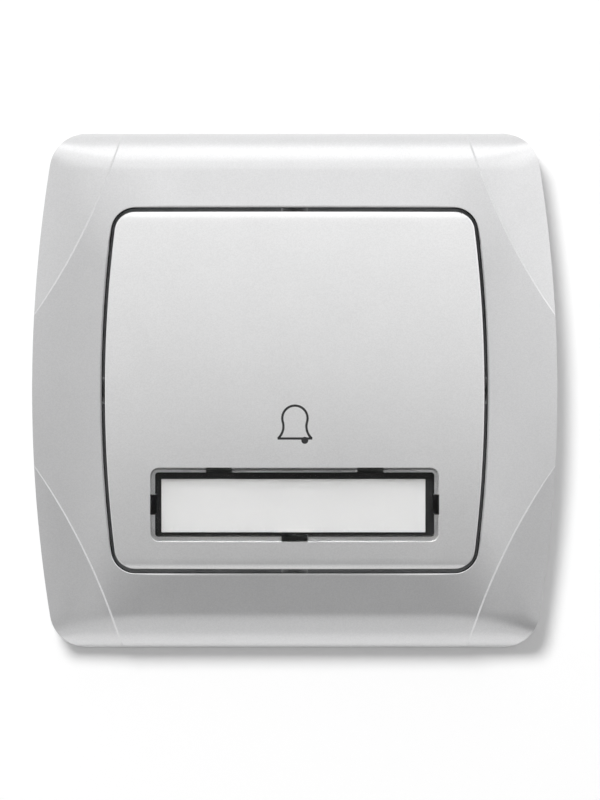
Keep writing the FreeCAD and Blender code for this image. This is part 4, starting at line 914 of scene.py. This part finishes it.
class Finish:
    """A material under way: its tree, its shader and the groups that feed it."""

    def __init__(self, name, metallic=0.0, roughness=0.5, **values):
        self.material = bpy.data.materials.new(name)
        self.material.use_nodes = True
        self.tree = self.material.node_tree
        self.shader = self.tree.nodes["Principled BSDF"]
        self.shader.inputs["Metallic"].default_value = metallic
        self.shader.inputs["Roughness"].default_value = roughness
        for socket, value in values.items():
            self.shader.inputs[socket.replace("_", " ").title()].default_value = value
        self.place = put(self.tree, "TexCoord").outputs["Object"]

    def group(self, group, **values):
        node = self.tree.nodes.new("ShaderNodeGroup")
        node.node_tree = group
        self.tree.links.new(self.place, node.inputs["Vector"])
        for socket, value in values.items():
            node.inputs[socket.replace("_", " ").title()].default_value = value
        return node.outputs

    def colour(self, colour, tone, dust=None, dust_colour=(0.6, 0.58, 0.55)):
        """The base colour, made lighter or darker by a tone, and greyed where dust lies."""
        shade = put(self.tree, "VectorMath", operation="SCALE")
        shade.inputs[0].default_value = colour
        self.tree.links.new(tone, shade.inputs["Scale"])
        result = shade.outputs[0]
        if dust is not None:
            mixed = put(self.tree, "Mix", data_type="RGBA")
            self.tree.links.new(dust, mixed.inputs[0])
            self.tree.links.new(result, mixed.inputs[6])
            mixed.inputs[7].default_value = (*dust_colour, 1)
            result = mixed.outputs[2]
        self.tree.links.new(result, self.shader.inputs["Base Color"])

    def rough(self, base, *shifts):
        """Roughness as a base plus (value, gain) shifts."""
        result = None
        for value, gain in shifts:
            result = sums(self.tree, "MULTIPLY_ADD", value, gain, base if result is None else result)
        self.tree.links.new(result, self.shader.inputs["Roughness"])

    def bump(self, height, distance, strength=1.0):
        node = put(self.tree, "Bump", strength=strength, distance=distance)
        self.tree.links.new(height, node.inputs["Height"])
        self.tree.links.new(node.outputs[0], self.shader.inputs["Normal"])


FLAKE, GRAIN, HANDLING = metal_flake_group(), moulded_grain_group(), handling_group()
DUST, ROLLED = dust_group(), rolled_metal_group()


def silver_paint(name, colour, roughness):
    """Satin silver lacquer with fine flakes."""
    finish = Finish(name, metallic=0.9, roughness=roughness)
    flake = finish.group(FLAKE, flake_scale=6500.0, contrast=0.07)
    marks = finish.group(HANDLING, amount=0.35)["Mask"]
    dust = finish.group(DUST, amount=0.12)["Mask"]
    finish.colour(colour, flake["Tone"], dust)
    finish.rough(roughness, (flake["Height"], 0.03), (marks, 0.10), (dust, 0.2))
    finish.bump(flake["Height"], 0.000002, 0.25)
    return finish.material


def moulded_plastic(name, colour, roughness, scale=3200.0, depth=0.000006, shine=0.5):
    finish = Finish(name, roughness=roughness)
    finish.shader.inputs["Specular IOR Level"].default_value = shine
    grain = finish.group(GRAIN, grain_scale=scale, contrast=0.16)
    marks = finish.group(HANDLING, amount=0.4)["Mask"]
    dust = finish.group(DUST, amount=0.3)["Mask"]
    finish.colour(colour, grain["Tone"], dust)
    finish.rough(roughness, (grain["Height"], 0.08), (marks, -0.12), (dust, 0.25))
    finish.bump(grain["Height"], depth, 0.5)
    return finish.material


def plated_metal(name, colour, roughness, contrast=0.14):
    finish = Finish(name, metallic=1.0, roughness=roughness)
    rolled = finish.group(ROLLED, line_scale=5200.0, contrast=contrast)
    marks = finish.group(HANDLING, amount=0.5)["Mask"]
    dust = finish.group(DUST, amount=0.25)["Mask"]
    finish.colour(colour, rolled["Tone"], dust)
    finish.rough(roughness, (rolled["Height"], 0.10), (marks, 0.15), (dust, 0.3))
    finish.bump(rolled["Height"], 0.000004, 0.4)
    return finish.material


def clear_plastic():
    """The clear pane, which lets the lamps' light through to the card."""
    finish = Finish("clear_plastic", roughness=0.04, transmission_weight=1.0)
    finish.shader.inputs["IOR"].default_value = 1.49
    tree = finish.tree
    grain = finish.group(GRAIN, grain_scale=1500.0, contrast=0.02)
    marks = finish.group(HANDLING, amount=0.5)["Mask"]
    finish.colour((0.86, 0.86, 0.86), grain["Tone"])
    finish.rough(0.03, (marks, 0.06))
    finish.bump(grain["Height"], 0.0000005, 0.2)
    path = put(tree, "LightPath")
    through = put(tree, "BsdfTransparent")
    through.inputs["Color"].default_value = (0.90, 0.90, 0.90, 1)
    choice = put(tree, "MixShader")
    tree.links.new(path.outputs["Is Shadow Ray"], choice.inputs[0])
    tree.links.new(finish.shader.outputs[0], choice.inputs[1])
    tree.links.new(through.outputs[0], choice.inputs[2])
    tree.links.new(choice.outputs[0], tree.nodes["Material Output"].inputs[0])
    return finish.material


def card_paper():
    finish = Finish("card_paper", roughness=0.75)
    fibre = finish.group(GRAIN, grain_scale=2600.0, contrast=0.05)
    dust = finish.group(DUST, amount=0.1)["Mask"]
    finish.colour((0.70, 0.70, 0.695), fibre["Tone"], dust)
    finish.rough(0.72, (fibre["Height"], 0.1))
    finish.bump(fibre["Height"], 0.000008, 0.5)
    return finish.material


def black_print():
    finish = Finish("black_print", roughness=0.4)
    ink = finish.group(GRAIN, grain_scale=5000.0, contrast=0.3)
    finish.colour((0.014, 0.014, 0.015), ink["Tone"])
    finish.rough(0.38, (ink["Height"], 0.15))
    finish.bump(ink["Height"], 0.000003, 0.5)
    return finish.material


def studio_wall():
    """A plain white wall. It lets view through from behind, and light to what lies against it."""
    deselect_all()
    bpy.ops.mesh.primitive_plane_add(
        size=4, location=(0, 0.0002, 0), rotation=(math.pi / 2, 0, 0))
    bpy.ops.object.transform_apply(location=True, rotation=True, scale=True)
    wall = bpy.context.object
    wall.name = "studio_wall"
    material = bpy.data.materials.new("studio_wall")
    material.use_nodes = True
    tree = material.node_tree
    tree.nodes.remove(tree.nodes["Principled BSDF"])
    facing = put(tree, "NewGeometry")
    near = sums(tree, "LESS_THAN", put(tree, "LightPath").outputs["Ray Length"], 0.002)
    open_side = sums(tree, "MAXIMUM", facing.outputs["Backfacing"], near)
    paint = put(tree, "BsdfDiffuse")
    paint.inputs["Color"].default_value = (WALL_TONE, WALL_TONE, WALL_TONE, 1)
    through = put(tree, "BsdfTransparent")
    choice = put(tree, "MixShader")
    tree.links.new(open_side, choice.inputs[0])
    tree.links.new(paint.outputs[0], choice.inputs[1])
    tree.links.new(through.outputs[0], choice.inputs[2])
    tree.links.new(choice.outputs[0], tree.nodes["Material Output"].inputs[0])
    wall.data.materials.append(material)


def patch(tree, direction, elevation, azimuth, inner, outer, gain):
    """A soft-edged round patch of brightness in one direction, as a gain on the world's light."""
    e, a = math.radians(elevation), math.radians(azimuth)
    towards = (math.sin(a) * math.cos(e), -math.cos(a) * math.cos(e), math.sin(e))
    facing = put(tree, "VectorMath", operation="DOT_PRODUCT")
    tree.links.new(direction, facing.inputs[0])
    facing.inputs[1].default_value = towards
    edge = put(tree, "MapRange", interpolation_type="SMOOTHSTEP")
    tree.links.new(facing.outputs["Value"], edge.inputs[0])
    edge.inputs[1].default_value = math.cos(math.radians(outer))
    edge.inputs[2].default_value = math.cos(math.radians(inner))
    edge.inputs[3].default_value = 0.0
    edge.inputs[4].default_value = gain
    return edge.outputs[0]


def studio_world():
    """Even light for matt surfaces, softboxes in what metal reflects, and white for the camera."""
    world = bpy.data.worlds.new("studio")
    bpy.context.scene.world = world
    world.use_nodes = True
    tree = world.node_tree
    direction = put(tree, "TexCoord").outputs["Generated"]
    level = None
    for values in SOFTBOXES:
        one = patch(tree, direction, *values)
        level = sums(tree, "ADD", level if level is not None else ROOM_LEVEL, one)
    path = put(tree, "LightPath")
    seen = path.outputs["Is Camera Ray"]
    bounces = sums(tree, "ADD", path.outputs["Diffuse Depth"], path.outputs["Glossy Depth"])
    # The pane lets shadow rays through, so light that has come back through it is already counted.
    doubled = sums(
        tree, "MULTIPLY", path.outputs["Is Transmission Ray"], sums(tree, "GREATER_THAN", bounces, 0.5))
    matt = path.outputs["Is Diffuse Ray"]
    mixed = put(tree, "Mix", data_type="FLOAT")
    tree.links.new(matt, mixed.inputs[0])
    tree.links.new(level, mixed.inputs[2])
    mixed.inputs[3].default_value = FILL_LEVEL
    shown = put(tree, "Mix", data_type="FLOAT")
    tree.links.new(seen, shown.inputs[0])
    tree.links.new(mixed.outputs[0], shown.inputs[2])
    shown.inputs[3].default_value = 1.0
    background = tree.nodes["Background"]
    background.inputs["Color"].default_value = (1, 1, 1, 1)
    once = sums(tree, "MULTIPLY", shown.outputs[0], sums(tree, "SUBTRACT", 1.0, doubled))
    tree.links.new(once, background.inputs["Strength"])


def lamp(name, place, aim, size, power):
    data = bpy.data.lights.new(name, "AREA")
    data.shape = "DISK"
    data.size = size
    data.energy = power
    lamp_object = bpy.data.objects.new(name, data)
    bpy.context.collection.objects.link(lamp_object)
    lamp_object.location = place
    lamp_object.rotation_euler = (Vector(aim) - Vector(place)).to_track_quat("-Z", "Y").to_euler()
    lamp_object.visible_glossy = False
    return lamp_object


def camera():
    data = bpy.data.cameras.new("camera")
    data.sensor_width = 36
    data.lens = 18 / (VIEW_HEIGHT / 2 / VIEW_DISTANCE)
    data.clip_start, data.clip_end = 0.05, 20
    view = bpy.data.objects.new("camera", data)
    bpy.context.collection.objects.link(view)
    view.location = (0.00085, -VIEW_DISTANCE, -0.00154)
    view.rotation_euler = (math.pi / 2, 0, 0)
    bpy.context.scene.camera = view


VIEW_HEIGHT, VIEW_DISTANCE = 0.1286, 1.2
WALL_TONE, FILL_LEVEL, ROOM_LEVEL = 0.97, 0.42, 0.95
# Elevation, azimuth, inner and outer radius in degrees, and gain.
SOFTBOXES = [
    (26, 0, 4, 16, 0.37),
    (88, 0, 34, 50, 0.65),
    (-16, 0, 6, 20, -0.88),
    (-60, 0, 18, 36, -0.23),
    (0, 36, 10, 26, -0.12),
    (0, -36, 10, 26, -0.40),
    (24, 38, 10, 26, 0.65),
    (24, -38, 10, 26, 0.41),
    (-24, 38, 10, 26, -0.75),
    (-24, -38, 10, 26, -0.38),
    (25, 88, 12, 32, 0.60),
]

# Painted shade: the frame takes the rocker's silver lacquer made darker, so that it reads darker than the rocker.
frame_paint_shaded = silver_paint("silver_paint_frame_shaded", (0.68, 0.68, 0.685), 0.33)
rocker_paint = silver_paint("silver_paint_rocker", (0.82, 0.82, 0.822), 0.33)
pane_clear = clear_plastic()
paper = card_paper()
ink = black_print()
# Near-black plastic: painted shade in the gaps round the rocker and in the name window, and the unlacquered back of the
# frame and rocker.
bare_plastic_and_painted_shade = moulded_plastic("bare_plastic_and_painted_shade", (0.010, 0.010, 0.0105), 0.8, shine=0.1)
# Painted shade: a near-black tray whose walls round the card stand in for the deep shade of the name window.
tray_black_painted_shade = moulded_plastic("tray_black_painted_shade", (0.008, 0.008, 0.008), 0.6)
housing_grey = moulded_plastic("housing_grey", (0.56, 0.57, 0.56), 0.48, 2400.0, 0.000012)
carrier_grey = moulded_plastic("carrier_grey", (0.055, 0.057, 0.06), 0.42)
zinc = plated_metal("zinc_steel", (0.66, 0.67, 0.69), 0.34)
steel = plated_metal("spring_steel", (0.50, 0.50, 0.51), 0.28)
brass = plated_metal("contact_brass", (0.80, 0.62, 0.32), 0.30)
silver = plated_metal("contact_silver", (0.86, 0.85, 0.82), 0.28)

frame_shell = finished(
    cover_frame(), "frame_shell", "wall_unit", frame_paint_shaded, ["cover_frame"], 14)
painted_shade_and_bare(frame_shell, bare_plastic_and_painted_shade, frame_shade_and_bare)
rocker_shell = finished(
    rocker(), "rocker_shell", "push_rocker", rocker_paint, ["rocker"], 12)
painted_shade_and_bare(rocker_shell, bare_plastic_and_painted_shade, rocker_shade_and_bare)
finished(label_cover(), "label_pane", "push_rocker", pane_clear, ["label_cover"], 15)
finished(bell_sign(), "bell_print", "push_rocker", ink)
finished(dressed("label_card", 0.05), "name_card", "push_rocker", paper, ["label_card"])
finished(dressed("label_tray"), "card_tray", "push_rocker", tray_black_painted_shade, ["label_tray"])
finished(dressed("rocker_carrier"), "tilt_carrier", "push_rocker", carrier_grey, ["rocker_carrier"])
finished(dressed("contact_bridge", 0.08), "bridge_strip", "push_rocker", brass, ["contact_bridge"])
finished(dressed("mounting_plate", 0.1), "wall_plate", "wall_unit", zinc, ["mounting_plate"])
finished(dressed("mechanism_cover"), "works_front", "wall_unit", housing_grey, ["mechanism_cover"])
finished(dressed("mechanism_base", 0.2), "works_housing", "wall_unit", housing_grey, ["mechanism_base"])
finished(return_spring(), "coil_spring", "wall_unit", steel, ["return_spring"], 30)
screw = machine_screw(23.0, (2.75, 2.1), 1.5, 22.0, 0.7)
for side in ("left", "right"):
    finished(dressed("fixed_contact_" + side, 0.08), "contact_strip_" + side, "wall_unit", brass, ["fixed_contact_" + side])
    finished(dressed("terminal_" + side), "terminal_block_" + side, "wall_unit", brass, ["terminal_" + side])
    finished(dressed("terminal_screw_" + side), "clamp_screw_" + side, "wall_unit", zinc, ["terminal_screw_" + side])
    finished(dressed("claw_nut_" + side), "nut_bar_" + side, "claw_nut_" + side, zinc, ["claw_nut_" + side])
    finished(dressed("claw_" + side, 0.15), "wall_claw_" + side, "claw_" + side, zinc, ["claw_" + side])
    one = copied(screw)
    if side == "left":
        one.data.transform(Matrix.Translation((-46, 0, 0)))
    finished(one, "threaded_screw_" + side, "claw_screw_" + side, zinc, ["claw_screw_" + side], 35)
bpy.data.objects.remove(screw)

studio_wall()
studio_world()
lamp("key", (-0.64, -1.90, 1.20), (0, 0, 0), 0.9, 42.0)
camera()
bpy.context.scene.view_settings.view_transform = "Standard"
